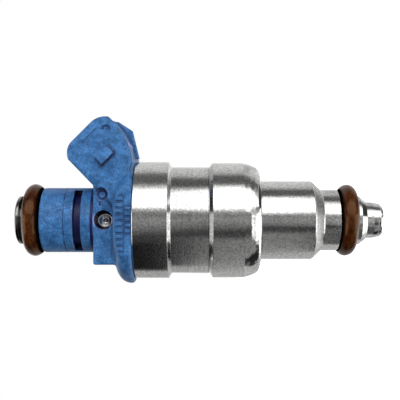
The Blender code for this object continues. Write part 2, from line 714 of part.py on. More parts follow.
def make_valve_seat(looks):
    """Guide disc, seat, orifice disc and the washer behind them, all crimped into the nose."""
    outer = POCKET_R - FIT
    guide = ring("needle_guide_disc", NEEDLE_R + FIT, outer, POCKET_TOP - FIT, GUIDE_BOTTOM, looks["steel"])
    flow_places = [turn @ Matrix.Translation((GUIDE_FLOW_OFFSET * MM, 0, 0)) for turn in around(4)]
    cut(guide, drills("flow_tool", GUIDE_FLOW_R, GUIDE_BOTTOM - PAST, POCKET_TOP + PAST, flow_places, 8))
    cone_top = SEAT_CONE_FOOT + (SEAT_CONE_MOUTH_R - SEAT_HOLE_R)
    turned(
        "valve_seat",
        [
            (SEAT_CONE_MOUTH_R, SEAT_TOP), (outer, SEAT_TOP), (outer, SEAT_BOTTOM),
            (SEAT_HOLE_R, SEAT_BOTTOM), (SEAT_HOLE_R, SEAT_CONE_FOOT), (SEAT_CONE_MOUTH_R, cone_top),
        ],
        looks["hardened"],
        INNER_SEGMENTS,
    )
    disc_top = SEAT_BOTTOM - FIT
    disc_bottom = disc_top - ORIFICE_THICK
    disc = ring("orifice_disc", 0, outer, disc_top, disc_bottom, looks["steel"])
    hole_places = [turn @ Matrix.Translation((ORIFICE_OFFSET * MM, 0, 0)) for turn in around(4)]
    cut(disc, drills("orifice_tool", ORIFICE_R, disc_bottom - PAST, disc_top + PAST, hole_places, 8))
    ring("backup_washer", BACKUP_HOLE_R, outer, disc_bottom - FIT, POCKET_BOTTOM + FIT, looks["steel"])


def make_moving_parts(looks):
    """Armature and needle, under one empty on the axis that they slide along."""
    slide_axis = bpy.data.objects.new("needle_lift_axis", None)
    bpy.context.scene.collection.objects.link(slide_axis)
    armature = turned(
        "armature",
        [
            (SPRING_POCKET_R, ARMATURE_TOP), (ARMATURE_R, ARMATURE_TOP), (ARMATURE_R, ARMATURE_BOTTOM),
            (NEEDLE_R + FIT, ARMATURE_BOTTOM), (NEEDLE_R + FIT, ARMATURE_DUCT_BOTTOM),
            (ARMATURE_DUCT_R, ARMATURE_DUCT_BOTTOM), (ARMATURE_DUCT_R, SPRING_LEDGE),
            (SPRING_POCKET_R, SPRING_LEDGE),
        ],
        looks["steel"],
        INNER_SEGMENTS,
    )
    lift = Matrix.Translation((0, 0, CROSS_HOLE_Z * MM))
    outward = Matrix.Rotation(math.pi / 2, 4, "Y")
    cross_places = [lift @ turn @ outward for turn in around(4, math.pi / 4)]
    cross = drills("cross_hole_tool", CROSS_HOLE_R, CROSS_HOLE_START, ARMATURE_R + PAST, cross_places, 8)
    cut(armature, cross)
    touch = SEAT_CONE_FOOT - SEAT_HOLE_R + (NEEDLE_R + FIT) * math.sqrt(2)
    needle = turned(
        "valve_needle",
        [(0, NEEDLE_TOP), (NEEDLE_R, NEEDLE_TOP)] + arc((0, touch), (NEEDLE_R, NEEDLE_R), 0, -90, 5),
        looks["hardened"],
        NEEDLE_SEGMENTS,
    )
    for piece in (armature, needle):
        piece.parent = slide_axis


# ---- the whole injector -----------------------------------------------------------------

def clear_scene():
    for old in list(bpy.data.objects):
        bpy.data.objects.remove(old)


def make_looks():
    return {
        "blue_plastic": finish("blue_plastic", (0.09, 0.25, 0.52), 0.0, 0.42),
        "rubber": finish("brown_rubber", (0.22, 0.09, 0.035), 0.0, 0.45),
        "turned_steel": finish("turned_steel", (0.62, 0.62, 0.61), 1.0, 0.26),
        "steel": finish("plain_steel", (0.55, 0.55, 0.55), 1.0, 0.35),
        "hardened": finish("hardened_steel", (0.68, 0.68, 0.67), 1.0, 0.18),
        "copper": finish("enamelled_copper", (0.62, 0.24, 0.09), 0.9, 0.35),
        "bobbin": finish("black_nylon", (0.03, 0.03, 0.035), 0.0, 0.5),
        "nylon": finish("white_nylon", (0.75, 0.74, 0.68), 0.0, 0.5),
        "gauze": finish("steel_gauze", (0.5, 0.5, 0.48), 0.6, 0.5),
        "brass": finish("brass", (0.72, 0.53, 0.22), 1.0, 0.3),
        "seal": finish("black_rubber", (0.02, 0.02, 0.02), 0.0, 0.5),
        "tin": finish("tinned_bronze", (0.66, 0.65, 0.60), 1.0, 0.25),
        "spring": finish("spring_steel", (0.5, 0.49, 0.47), 1.0, 0.25),
    }


def build():
    clear_scene()
    looks = make_looks()
    blade_cutters = []
    for side, name in ((1, "left"), (-1, "right")):
        blade(f"terminal_{name}", side, looks["tin"])
        blade_cutters.append(blade(f"terminal_tool_{name}", side, None, FIT))
    make_overmold(looks["blue_plastic"], blade_cutters)
    make_inlet_core(looks["turned_steel"])
    make_filter(looks)
    make_sleeve(looks["steel"])
    make_spring(looks["spring"])
    make_solenoid(looks, blade_cutters)
    make_can(looks["turned_steel"])
    ring("nonmagnetic_shell", SHELL_BORE_R, CORE_R, CORE_STEP - FIT, SHELL_BOTTOM, looks["steel"])
    make_valve_body(looks["turned_steel"])
    shim_bottom = CAN_LIP_TOP + (BODY_SHOULDER - CAN_LIP_TOP - SHIM_THICK) / 2
    ring(
        "lift_shim",
        SHIM_BORE_R, SHIM_R, shim_bottom + SHIM_THICK, shim_bottom, looks["steel"], OUTER_SEGMENTS,
    )
    ring("armature_guide", ARMATURE_R + FIT, CHAMBER_R - FIT, EYELET_TOP, EYELET_BOTTOM, looks["steel"])
    make_moving_parts(looks)
    make_valve_seat(looks)
    turned(
        "oring_collar",
        [
            (GROOVE_R + FIT, -ORING_LAND), (COLLAR_R, -ORING_LAND), (COLLAR_R, COLLAR_CHAMFER_TOP),
            (COLLAR_FOOT_R, COLLAR_BOTTOM), (GROOVE_R + FIT, COLLAR_BOTTOM),
        ],
        looks["turned_steel"],
    )
    o_ring("upper_oring", UPPER_ORING_R, ORING_SECTION_R, UPPER_ORING_Z, looks["rubber"])
    o_ring("lower_oring", LOWER_ORING_R, ORING_SECTION_R, 0.0, looks["rubber"])


build()
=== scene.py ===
"""The looks of the fuel injector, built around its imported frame.

Lengths in this script are in millimetres until a mesh is made, and the frame is in metres.
"""

import itertools
import math

import bmesh
import bpy
import numpy as np
import openvdb
from mathutils import Matrix, Vector, noise


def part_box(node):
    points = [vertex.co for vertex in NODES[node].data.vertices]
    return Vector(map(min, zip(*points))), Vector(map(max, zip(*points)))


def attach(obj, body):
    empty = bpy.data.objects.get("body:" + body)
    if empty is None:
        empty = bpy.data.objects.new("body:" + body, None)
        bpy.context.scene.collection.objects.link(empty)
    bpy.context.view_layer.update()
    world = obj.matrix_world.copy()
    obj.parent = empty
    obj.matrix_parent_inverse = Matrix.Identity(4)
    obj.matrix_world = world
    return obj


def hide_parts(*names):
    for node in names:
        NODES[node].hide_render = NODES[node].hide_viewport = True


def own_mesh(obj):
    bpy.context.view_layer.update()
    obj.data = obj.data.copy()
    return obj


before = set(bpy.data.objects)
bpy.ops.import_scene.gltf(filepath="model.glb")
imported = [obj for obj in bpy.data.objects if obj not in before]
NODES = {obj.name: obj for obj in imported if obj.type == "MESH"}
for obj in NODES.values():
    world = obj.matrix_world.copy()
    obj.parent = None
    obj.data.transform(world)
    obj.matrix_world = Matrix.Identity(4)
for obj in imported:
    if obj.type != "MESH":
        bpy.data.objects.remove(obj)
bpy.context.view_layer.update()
MM = 0.001
FIXED = "injector_body"


def span(node):
    """A CAD node's lowest and highest corners, in millimetres."""
    low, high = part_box(node)
    return low / MM, high / MM


# Places that come from the CAD
CLEARANCE = 0.06  # between pieces that touch in the real injector
PLASTIC_LOW, PLASTIC_HIGH = span("overmold_body")
CAN_LOW, CAN_HIGH = span("solenoid_can")
COLLAR_LOW, COLLAR_HIGH = span("oring_collar")
NECK_TOP = PLASTIC_HIGH.z
INLET_TOP = span("inlet_core")[1].z
CAN_TOP = CAN_HIGH.z
FOOT_Z = CAN_TOP + CLEARANCE  # the plastic stands on the housing
CAN_FOOT = CAN_LOW.z
NOSE_BOTTOM = span("valve_body")[0].z

# The overmould's grid, and how the distances behind its surface are taken
CELL = 0.13
GRID_MARGIN = 0.6
FLATNESS = 0.03  # how far the surface's triangles may be merged
HOLLOW_REACHES = (0.35, 0.7, 1.2)
EDGE_REACH = 0.3

# Neck, clip groove and block
NECK_R, NECK_ROUND, NECK_FILLET = 6.56, 0.35, 0.4
NECK_MIDDLE_Z = 50  # well inside the block
TUBE_R = 3.8
GROOVE_TOP, GROOVE_BOTTOM = 54.75, 53.3
GROOVE_R = 5.3
GROOVE_HALF = 5.95
GROOVE_WEB_HALF = 0.5  # the groove is cut from each side, as far as a web in the middle
BLOCK_LOW, BLOCK_HIGH = (-8.6, -6.8, 43.6), (7.8, 6.8, 50.65)
BLOCK_ROUND, BLOCK_FILLET = 0.45, 0.5
WINDOW_R = 1.85
WINDOW_X, WINDOW_Z = 0.2, 48.6
WINDOW_END_Y = 2.0
CUT_EASE = 0.2  # at the edges of the groove and the window

# Flange
FLANGE_TOP = 46.5
FLANGE_WIDEST_Z = 43.6
FLANGE_R = 12.8
FLANGE_SHOULDER_R = 9.2
FLANGE_FOOT_R = 11.8
FLANGE_FOOT_ROUND = 0.64
FLANGE_FLAT_Y, FLANGE_FLAT_ROUND = 10.9, 0.3

# Connector, which leans from the injector's axis
CROSSING_Z = 35.4  # where its own axis meets the injector's
LEAN = math.radians(45)
MOUTH_REACH = 24.4  # from there to its mouth
SHELL_HALF_Y, SHELL_HALF_V = 9.05, 5.8  # of the connector's shell
SHELL_ROUND, SHELL_FILLET = 0.55, 0.45
MOUTH_FLAT_HALF = 2.55
MOUTH_DROP = 1.6
FRONT_HALF_V, FRONT_DROP = 5.55, 2.0
HEEL_RADIUS, HEEL_END_ANGLE = 12.1, -86
HIDDEN_REACH, HIDDEN_RISE, FOOT_RISE = 2.0, 0.6, 0.74  # of its corners inside the flange
SOCKET_HALF_Y, SOCKET_HALF_V = 8.05, 4.45
SOCKET_DEPTH, SOCKET_EASE = 8.0, 0.25
NUB_NEAR, NUB_FAR = 4.9, 7.4  # the latch nub, by its distance from the mouth
NUB_HALF, NUB_RAISE = 1.6, 0.9
NUB_ROOT, NUB_FILLET = 0.5, 0.12
RIB_HALF, RIB_ROUND, RIB_FILLET = 0.7, 0.2, 0.3
RIB_CREST = ((20.0, 46.3), (18.2, 43.5), (12.5, 42.1))
RIB_ROOT = (0.3, 0.7)  # how far its root lies behind the connector's edge

# Marks on the plastic
BAR_ROWS = ((45.05, 1.35, -5.8, 5.0, 9), (43.4, 1.15, -2.3, 3.1, 5))  # height, length, ends and number
BAR_GAP = 0.23
BAR_RAISE, BAR_ROOT, BAR_ROUND = 0.18, 0.3, 0.08
RING_X, RING_Z, RING_R = 5.15, 48.8, 0.84
RING_HALF = 0.19
RING_POCKET_R, RING_POCKET_DEPTH, RING_POCKET_EASE = 1.35, 0.02, 0.1
DASH_X, DASH_Z = RING_X - 1.75, RING_Z + 0.5
DASH_HALF_X, DASH_HALF_Z = 0.5, 0.14
MARK_DEPTH, MARK_EASE = 0.2, 0.06
LINE_U, LINE_V = -1.7, 0.6
LINE_HALF_U, LINE_HALF_V = 0.12, 1.85
LINE_DEPTH, LINE_EASE = 0.13, 0.08
DIMPLE_U, DIMPLE_V = -3.2, 3.6
DIMPLE_R, DIMPLE_DEPTH, DIMPLE_EASE = 0.8, 0.25, 0.1
DIMPLE_RIM_HALF, DIMPLE_RIM_START = 0.15, 0.2
SEAM_Z = 56.6
SCUFFS = (  # (x, z) along each shallow scratch on the neck
    ((1.9, 59.4), (1.0, 59.9), (0.5, 60.4), (-0.6, 59.8)), ((1.0, 59.9), (0.7, 59.0)),
    ((1.4, 58.9), (2.2, 57.1), (2.6, 55.2)),
)
SCUFF_HALF, SCUFF_DEPTH, SCUFF_EASE = 0.12, 0.10, 0.05

# How strongly the plastic's edges get a painted pale highlight
HIGHLIGHT_STRENGTH = 0.8
PLACE_HIGHLIGHT = (3.0, 0.15, 1.6, 0.25, 0.35, 0.2)  # the places that edge_highlight() lists, for the painted highlight
MARKS_U, MARKS_V = (-4.3, -1.2), (-1.5, 4.6)  # around the witness line and the dimple
SHADE_AROUND_BARS = 0.36


def share(values):
    """Values held between 0 and 1."""
    return np.clip(values, 0, 1)


# ---- outlines ----

def arc(centre, radii, start, end, steps):
    """Points on an ellipse's arc. Angles are in degrees, from the first axis towards the second."""
    angles = [math.radians(start + (end - start) * n / steps) for n in range(steps + 1)]
    return [(centre[0] + radii[0] * math.cos(a), centre[1] + radii[1] * math.sin(a)) for a in angles]


def connector_point(u, v):
    """(u, v) to (x, z): u runs out of the connector's mouth, v across it towards the can."""
    x = (MOUTH_REACH + u) * math.sin(LEAN) + v * math.cos(LEAN)
    z = CROSSING_Z + (MOUTH_REACH + u) * math.cos(LEAN) - v * math.sin(LEAN)
    return x, z


def connector_axes(x, z):
    """(x, z) to (u, v)."""
    u = (x * math.sin(LEAN) + (z - CROSSING_Z) * math.cos(LEAN)) - MOUTH_REACH
    return u, x * math.cos(LEAN) - (z - CROSSING_Z) * math.sin(LEAN)


def mouth_side(side, half_v, drop):
    """One rounded side of the mouth, from the end of its flat to its corner."""
    run = half_v - MOUTH_FLAT_HALF
    radius = (run**2 + drop**2) / (2 * drop)
    sweep = math.degrees(math.asin(run / radius))
    return arc((-radius, side * MOUTH_FLAT_HALF), (radius, radius), 0, side * sweep, 12)


def connector_outline():
    """The connector from the side, with its rounded mouth and its heel."""
    front = mouth_side(-1, FRONT_HALF_V, FRONT_DROP)
    back = mouth_side(1, SHELL_HALF_V, MOUTH_DROP)
    mouth = [connector_point(u, v) for u, v in front[::-1] + back]
    edge_x, edge_z = connector_point(-MOUTH_DROP, SHELL_HALF_V)
    corner_x = edge_x - (edge_z - FOOT_Z) * math.tan(LEAN)
    tangent = HEEL_RADIUS * math.tan((math.pi / 2 - LEAN) / 2)
    centre = (corner_x - tangent, FOOT_Z + HEEL_RADIUS)
    heel = arc(centre, (HEEL_RADIUS, HEEL_RADIUS), -math.degrees(LEAN), HEEL_END_ANGLE, 20)
    front_x, front_z = connector_point(0, -SHELL_HALF_V)
    inside_z = FLANGE_WIDEST_Z + HIDDEN_RISE
    front_foot = (front_x - (front_z - inside_z) * math.tan(LEAN), inside_z)
    return mouth + heel + [(heel[-1][0] - HIDDEN_REACH, FOOT_Z + FOOT_RISE), front_foot]


def line_distance(a, b, start, end):
    """Squared distance in the plane to the straight line between two points."""
    ex, ey = end[0] - start[0], end[1] - start[1]
    px, py = a - start[0], b - start[1]
    t = share((px * ex + py * ey) / (ex * ex + ey * ey + 1e-12))
    return (px - ex * t) ** 2 + (py - ey * t) ** 2


def flat_distance(outline, a, b):
    """Signed distance to a closed outline in the plane, below nought inside."""
    best = np.full(a.shape, 1e9, np.float32)
    inside = np.zeros(a.shape, bool)
    for start, end in zip(outline, outline[1:] + outline[:1]):
        best = np.minimum(best, line_distance(a, b, start, end))
        rise = end[1] - start[1]
        crosses = (start[1] > b) != (end[1] > b)
        inside ^= crosses & (a < start[0] + (b - start[1]) * (end[0] - start[0]) / (rise or 1e-12))
    return np.where(inside, -1, 1) * np.sqrt(best)


# ---- the moulding as a distance field ----

class Field:
    """A signed distance field on a regular grid, and the solids that it is put together from."""

    def __init__(self, low, high, cell):
        self.low, self.cell = np.array(low), cell
        axes = [np.arange(a, b, cell, dtype=np.float32) for a, b in zip(low, high)]
        self.x = axes[0][:, None, None]
        self.y = np.abs(axes[1])[None, :, None]  # both sides are the same
        self.z = axes[2][None, None, :]
        self.rho = np.sqrt(self.x**2 + self.y**2)
        self.u, self.v = connector_axes(self.x, self.z)

    def prism(self, outline, half_y, rounding):
        """An outline in (x, z), carried across Y, with rounded edges."""
        side = flat_distance(outline, *np.broadcast_arrays(self.x[:, 0], self.z[:, 0]))[:, None, :]
        return rounded_meet(side, self.y - half_y, rounding)

    def turned(self, outline):
        """An outline in (radius, z), turned about Z."""
        radii = np.arange(0, self.rho.max() + 2 * self.cell, self.cell / 2, dtype=np.float32)
        table = flat_distance(outline, *np.broadcast_arrays(radii[:, None], self.z[0]))
        place = self.rho[:, :, 0] / (self.cell / 2)
        whole = np.minimum(place.astype(int), len(radii) - 2)
        part = (place - whole)[:, :, None]
        return table[whole] * (1 - part) + table[whole + 1] * part

    def box(self, low, high, rounding, across=None):
        """A box in (x, |y|, z), or in whatever three distances across gives."""
        places = across or (self.x, self.y, self.z)
        away = [np.abs(p - (a + b) / 2) - ((b - a) / 2 - rounding) for p, a, b in zip(places, low, high)]
        outside = np.sqrt(sum(np.maximum(d, 0) ** 2 for d in away))
        return outside + np.minimum(np.maximum(np.maximum(*away[:2]), away[2]), 0) - rounding


def rounded_meet(a, b, r):
    """Where two solids overlap, with the edge between them rounded."""
    past_edge = np.sqrt(np.maximum(a + r, 0) ** 2 + np.maximum(b + r, 0) ** 2)
    return past_edge + np.minimum(np.maximum(a, b) + r, 0) - r


def soft_join(a, b, r):
    """Two solids as one, with a fillet of about r between them."""
    h = np.maximum(r - np.abs(a - b), 0) / r
    return np.minimum(a, b) - h * h * r / 4


def soft_cut(a, b, r):
    """a with b cut out of it, with the cut's edge eased."""
    return -soft_join(-a, b, r)


def moulding(f):
    """The distance field of the overmoulded plastic."""
    y = f.y
    radii = (FLANGE_R - FLANGE_SHOULDER_R, FLANGE_TOP - FLANGE_WIDEST_Z)
    flange_arc = arc((FLANGE_SHOULDER_R, FLANGE_WIDEST_Z), radii, 90, 0, 24)
    radii = (FLANGE_R - FLANGE_FOOT_R, FLANGE_FOOT_ROUND)
    foot_arc = arc((FLANGE_FOOT_R, FOOT_Z + FLANGE_FOOT_ROUND), radii, 0, -90, 8)
    flange = f.turned([(-1, FLANGE_TOP)] + flange_arc + foot_arc + [(-1, FOOT_Z)])
    body = rounded_meet(flange, y - FLANGE_FLAT_Y, FLANGE_FLAT_ROUND)
    ends = np.abs(f.z - NECK_MIDDLE_Z) - (NECK_TOP - NECK_MIDDLE_Z)
    neck = rounded_meet(f.rho - NECK_R, ends, NECK_ROUND)
    block = f.box(BLOCK_LOW, BLOCK_HIGH, BLOCK_ROUND)
    connector = f.prism(connector_outline(), SHELL_HALF_Y, SHELL_ROUND)
    start = connector_point(-MOUTH_DROP, SHELL_HALF_V)
    root = connector_point(-MOUTH_DROP - RIB_ROOT[0], SHELL_HALF_V - RIB_ROOT[1])
    foot = (RIB_CREST[-1][0], FOOT_Z + FOOT_RISE)
    rib = f.prism([start, *RIB_CREST, foot, root], RIB_HALF, RIB_ROUND)
    for part, fillet in ((block, BLOCK_FILLET), (neck, NECK_FILLET), (connector, SHELL_FILLET),
                         (rib, RIB_FILLET)):
        body = soft_join(body, part, fillet)
    # latch nub: flush at the mouth's side, with a catch at the other
    slope = math.atan2(NUB_RAISE, NUB_FAR - NUB_NEAR)
    top = (y - SHELL_HALF_Y) * math.cos(slope) + (f.u + NUB_NEAR) * math.sin(slope)
    length = np.maximum(f.u + NUB_NEAR, -NUB_FAR - f.u)
    nub = np.maximum(np.maximum(top, length), np.abs(f.v) - NUB_HALF)
    nub = np.maximum(nub, SHELL_HALF_Y - NUB_ROOT - y)
    body = soft_join(body, nub, NUB_FILLET)
    # plain bars in place of the lettering on the flange's flat
    for height, tall, first, last, count in BAR_ROWS:
        pitch = (last - first) / count
        for n in range(count):
            left = first + n * pitch
            low = (left + BAR_GAP, FLANGE_FLAT_Y - BAR_ROOT, height - tall / 2)
            high = (left + pitch - BAR_GAP, FLANGE_FLAT_Y + BAR_RAISE, height + tall / 2)
            body = np.minimum(body, f.box(low, high, BAR_ROUND))
    # socket, clip groove, window and bore
    low = (-SOCKET_DEPTH, -1, -SOCKET_HALF_V)
    high = (4, SOCKET_HALF_Y, SOCKET_HALF_V)
    body = soft_cut(body, f.box(low, high, 0.0, (f.u, y, f.v)), SOCKET_EASE)
    groove = np.abs(f.z - (GROOVE_TOP + GROOVE_BOTTOM) / 2) - (GROOVE_TOP - GROOVE_BOTTOM) / 2
    groove = np.maximum(groove, GROOVE_R - f.rho)
    groove = np.maximum(np.maximum(groove, np.abs(f.x) - GROOVE_HALF), GROOVE_WEB_HALF - y)
    body = soft_cut(body, groove, CUT_EASE)
    window = np.sqrt((f.x - WINDOW_X) ** 2 + (f.z - WINDOW_Z) ** 2) - WINDOW_R
    body = soft_cut(body, np.maximum(window, WINDOW_END_Y - y), CUT_EASE)
    body = np.maximum(body, TUBE_R + CLEARANCE - f.rho)
    # an engraved ring on the block, with a dash beside it
    ring_r = np.sqrt((f.x - RING_X) ** 2 + (f.z - RING_Z) ** 2)
    pocket = np.maximum(ring_r - RING_POCKET_R, BLOCK_HIGH[1] - RING_POCKET_DEPTH - y)
    body = soft_cut(body, pocket, RING_POCKET_EASE)
    dash = np.maximum(np.abs(f.x - DASH_X) - DASH_HALF_X, np.abs(f.z - DASH_Z) - DASH_HALF_Z)
    marks = np.minimum(np.abs(ring_r - RING_R) - RING_HALF, dash)
    body = soft_cut(body, np.maximum(marks, BLOCK_HIGH[1] - MARK_DEPTH - y), MARK_EASE)
    # witness line and dimple behind the mouth
    line = np.maximum(np.abs(f.u - LINE_U) - LINE_HALF_U, np.abs(f.v - LINE_V) - LINE_HALF_V)
    body = soft_cut(body, np.maximum(line, SHELL_HALF_Y - LINE_DEPTH - y), LINE_EASE)
    reach = (DIMPLE_R**2 + DIMPLE_DEPTH**2) / (2 * DIMPLE_DEPTH)
    du, dv = f.u - DIMPLE_U, f.v - DIMPLE_V
    away = np.sqrt(du**2 + dv**2 + (y - SHELL_HALF_Y - reach + DIMPLE_DEPTH) ** 2)
    body = soft_cut(body, away - reach, DIMPLE_EASE)
    rim = np.maximum(np.abs(np.hypot(du, dv) - DIMPLE_R) - DIMPLE_RIM_HALF, DIMPLE_RIM_START - du - dv)
    body = soft_cut(body, np.maximum(rim, SHELL_HALF_Y - DIMPLE_DEPTH - y), MARK_EASE)
    # scratches on the neck
    lines = [ends for scuff in SCUFFS for ends in zip(scuff, scuff[1:])]
    near = np.sqrt(np.min([line_distance(f.x, f.z, *ends) for ends in lines], axis=0)) - SCUFF_HALF
    body = soft_cut(body, np.maximum(near, NECK_R - SCUFF_DEPTH - f.rho), SCUFF_EASE)
    return body.astype(np.float32)


def sample(field, f, points):
    """The field's value at points, between its grid's corners."""
    place = (points - f.low) / f.cell
    whole = np.clip(np.floor(place).astype(int), 0, np.array(field.shape) - 2)
    part = place - whole
    value = 0
    for corner in itertools.product((0, 1), repeat=3):
        weight = np.prod(np.where(corner, part, 1 - part), axis=1)
        value = value + weight * field[tuple((whole + corner).T)]
    return value


def slope_of(field, f, points):
    """The field's unit gradient at points."""
    step = 0.6 * f.cell
    parts = []
    for axis in range(3):
        shift = np.zeros(3)
        shift[axis] = step
        parts.append(sample(field, f, points + shift) - sample(field, f, points - shift))
    grad = np.stack(parts, 1)
    return grad / np.maximum(np.linalg.norm(grad, axis=1, keepdims=True), 1e-9)


def in_scene(name, data):
    """A new object in the scene."""
    made = bpy.data.objects.new(name, data)
    bpy.context.scene.collection.objects.link(made)
    return made


def mesh_object(name, points, faces, normals):
    """A smooth mesh object from points in millimetres."""
    mesh = bpy.data.meshes.new(name)
    mesh.from_pydata((np.asarray(points) * MM).tolist(), [], faces)
    mesh.validate()
    mesh.shade_smooth()
    if len(normals) == len(mesh.vertices):
        mesh.normals_split_custom_set_from_vertices(np.asarray(normals).tolist())
    return in_scene(name, mesh)


def give(made, look, slot, *nodes, body=FIXED):
    """Gives a piece its finish, hides the CAD nodes that it stands for and hangs it on the body that it rides
    on.
    """
    made.data.materials.clear()
    made.data.materials.append(look)
    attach(made, body)
    if nodes:
        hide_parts(*nodes)


def attribute(made, name, values):
    made.data.attributes.new(name, "FLOAT", "POINT").data.foreach_set("value", values.astype(np.float32))


def folded(points):
    """x, |y| and z of each point, since both sides are alike."""
    return points[:, 0], np.abs(points[:, 1]), points[:, 2]


def shaded_pits(points):
    """How deep each point lies in the clip groove or the round window, where shade is painted."""
    x, y, z = folded(points)
    rho = np.hypot(x, y)
    in_groove = (z < GROOVE_TOP + 0.05) & (z > GROOVE_BOTTOM - 0.05) & (np.abs(x) < GROOVE_HALF + 0.05)
    groove = in_groove * share((NECK_R - 0.03 - rho) / 0.15)
    in_window = np.hypot(x - WINDOW_X, z - WINDOW_Z) < WINDOW_R + 0.05
    window = in_window * share((BLOCK_HIGH[1] - 0.02 - y) / 0.25)
    return np.maximum(groove, window)


def around_bars(points):
    """1 on the flange's flat close to its rows of bars, where shade gathers."""
    x, y, z = folded(points)
    on_flat = np.abs(y - FLANGE_FLAT_Y) < 0.08
    near = [(np.abs(z - height) < tall / 2 + 0.25) & (x > first - 0.2) & (x < last + 0.2)
            for height, tall, first, last, _ in BAR_ROWS]
    return on_flat * np.any(near, axis=0)


def edge_highlight(points):
    """How strongly each edge gets a painted pale highlight."""
    x, y, z = folded(points)
    u, v = connector_axes(x, z)
    on_flat = (y > FLANGE_FLAT_Y - 0.1) & (z < FLANGE_TOP)
    on_nub = (u < -NUB_NEAR + 0.3) & (u > -NUB_FAR - 0.3) & (np.abs(v) < NUB_HALF + 0.3)
    on_nub = on_nub & (y > SHELL_HALF_Y - 0.1)
    on_marks = (u > MARKS_U[0]) & (u < MARKS_U[1]) & (v > MARKS_V[0]) & (v < MARKS_V[1])
    on_marks = on_marks & (y > SHELL_HALF_Y - 0.3)
    neck_end = (z > NECK_TOP - 0.5) & (y < NECK_R) & (x < NECK_R)
    groove_ends = (z > GROOVE_BOTTOM - 0.4) & (z < GROOVE_TOP + 0.4) & (np.abs(x) > GROOVE_HALF - 0.5)
    groove_ends = groove_ends & (y < NECK_R)
    back = (v > SHELL_HALF_V - 1.0) & (u < -2.0) & (y > SHELL_HALF_Y - 1.2)
    places = (back, groove_ends, neck_end, on_marks, on_nub, on_flat)
    return np.select(places, PLACE_HIGHLIGHT, HIGHLIGHT_STRENGTH)


def outer_rim_shade(points, normals):
    """1 on the outer half of the rounded edges around the flat sides, where painted shade darkens them."""
    x, y, z = folded(points)
    side = np.abs(normals[:, 1])
    outward = share((0.62 - side) / 0.25)
    connector = share((y - SHELL_HALF_Y + 0.8) / 0.3) * (x > BLOCK_HIGH[0] + 0.3)
    block = share((y - BLOCK_HIGH[1] + 0.7) / 0.3) * (x < 0) * (y < BLOCK_HIGH[1] + 0.05)
    return outward * np.maximum(connector, block * (z > FLANGE_TOP + 0.5))


def make_moulding(look):
    """The overmould, with attributes for painted shade in its recesses and on its rims, and for a painted
    highlight near its edges.
    """
    low = tuple(v - GRID_MARGIN for v in PLASTIC_LOW)
    high = tuple(v + GRID_MARGIN for v in PLASTIC_HIGH)
    middle = (low[1] + high[1]) / 2
    f = Field((low[0], middle - math.ceil((high[1] - middle) / CELL) * CELL, low[2]), high, CELL)
    field = moulding(f)
    grid = openvdb.FloatGrid(2 * CELL)
    grid.copyFromArray(field)
    points, triangles, quads = grid.convertToPolygons(isovalue=0.0, adaptivity=FLATNESS)
    points = points.astype(float) * CELL + f.low
    for _ in range(2):
        points = points - slope_of(field, f, points) * sample(field, f, points)[:, None]
    normals = slope_of(field, f, points)
    made = mesh_object("overmold", points, triangles.tolist() + quads.tolist(), normals)
    # painted shade: how deep each point lies in a recess, with the groove, the window and the ground around
    # the bars
    hollow_shade = sum(1 - sample(field, f, points + normals * h) / h for h in HOLLOW_REACHES) / len(HOLLOW_REACHES)
    hollow_shade = np.maximum.reduce((hollow_shade, shaded_pits(points), SHADE_AROUND_BARS * around_bars(points)))
    # where the painted pale highlight goes: near an edge, by how strongly each edge takes it
    edge = (1 + sample(field, f, points - normals * EDGE_REACH) / EDGE_REACH) * edge_highlight(points)
    attribute(made, "hollow_shade", share(hollow_shade))
    # painted shade on the outer half of the rims
    attribute(made, "rim", outer_rim_shade(points, normals))
    attribute(made, "edge", share(edge))
    give(made, look, "blue_plastic", "overmold_body")


# ---- turned pieces ----

FILLET_ROOM = 0.45  # the share of an edge's length that the fillet at each of its ends may take
FILLET_TURN = 12  # degrees from one of its facets to the next


def turns_left(outline):
    """Whether a closed outline in (radius, z) runs counter-clockwise."""
    return sum(a[0] * b[1] - b[0] * a[1] for a, b in zip(outline, [*outline[1:], outline[0]])) > 0


def filleted(corners, step):
    """Rounds each corner (radius, z, fillet) of a closed outline. Gives points and their outward normals."""
    pts = [Vector(c[:2]) for c in corners]
    turn = 1 if turns_left(corners) else -1  # such outlines have their outside on the right
    places, outward = [], []

    def add(point, normal):
        if not places or (point - places[-1]).length > 1e-5:
            places.append(point)
            outward.append(normal)

    def outside(along):
        return Vector((along.y, -along.x)) * turn

    before, after = pts[-1:] + pts[:-1], pts[1:] + pts[:1]
    ends = []
    for corner, back, here, ahead in zip(corners, before, pts, after):
        a, b = (back - here).normalized(), (ahead - here).normalized()
        angle = math.acos(max(-1, min(1, a.dot(b))))
        room = FILLET_ROOM * min((back - here).length, (ahead - here).length)
        reach = min(corner[2] / max(math.tan(angle / 2), 1e-3), room)
        ends.append((here + a * reach, here + b * reach, reach * math.tan(angle / 2)))
    following = [end[0] for end in ends[1:] + ends[:1]]
    for back, here, ahead, (first, last, radius), goal in zip(before, pts, after, ends, following):
        normal_in = outside((here - back).normalized())
        normal_out = outside((ahead - here).normalized())
        sweep = normal_in.angle_signed(normal_out, 0)
        parts = max(2, math.ceil(abs(math.degrees(sweep)) / FILLET_TURN))
        add(first, normal_in)
        convex = 1 if sweep * -turn > 0 else -1
        centre = first - normal_in * radius * convex
        for m in range(1, parts):
            spun = normal_in.copy()
            spun.rotate(Matrix.Rotation(-sweep * m / parts, 2))
            add(centre + spun * radius * convex, spun)
        add(last, normal_out)
        pieces = max(1, math.ceil((goal - last).length / step))
        for m in range(1, pieces):
            add(last.lerp(goal, m / pieces), normal_out)
    return np.array(places), np.array(outward)


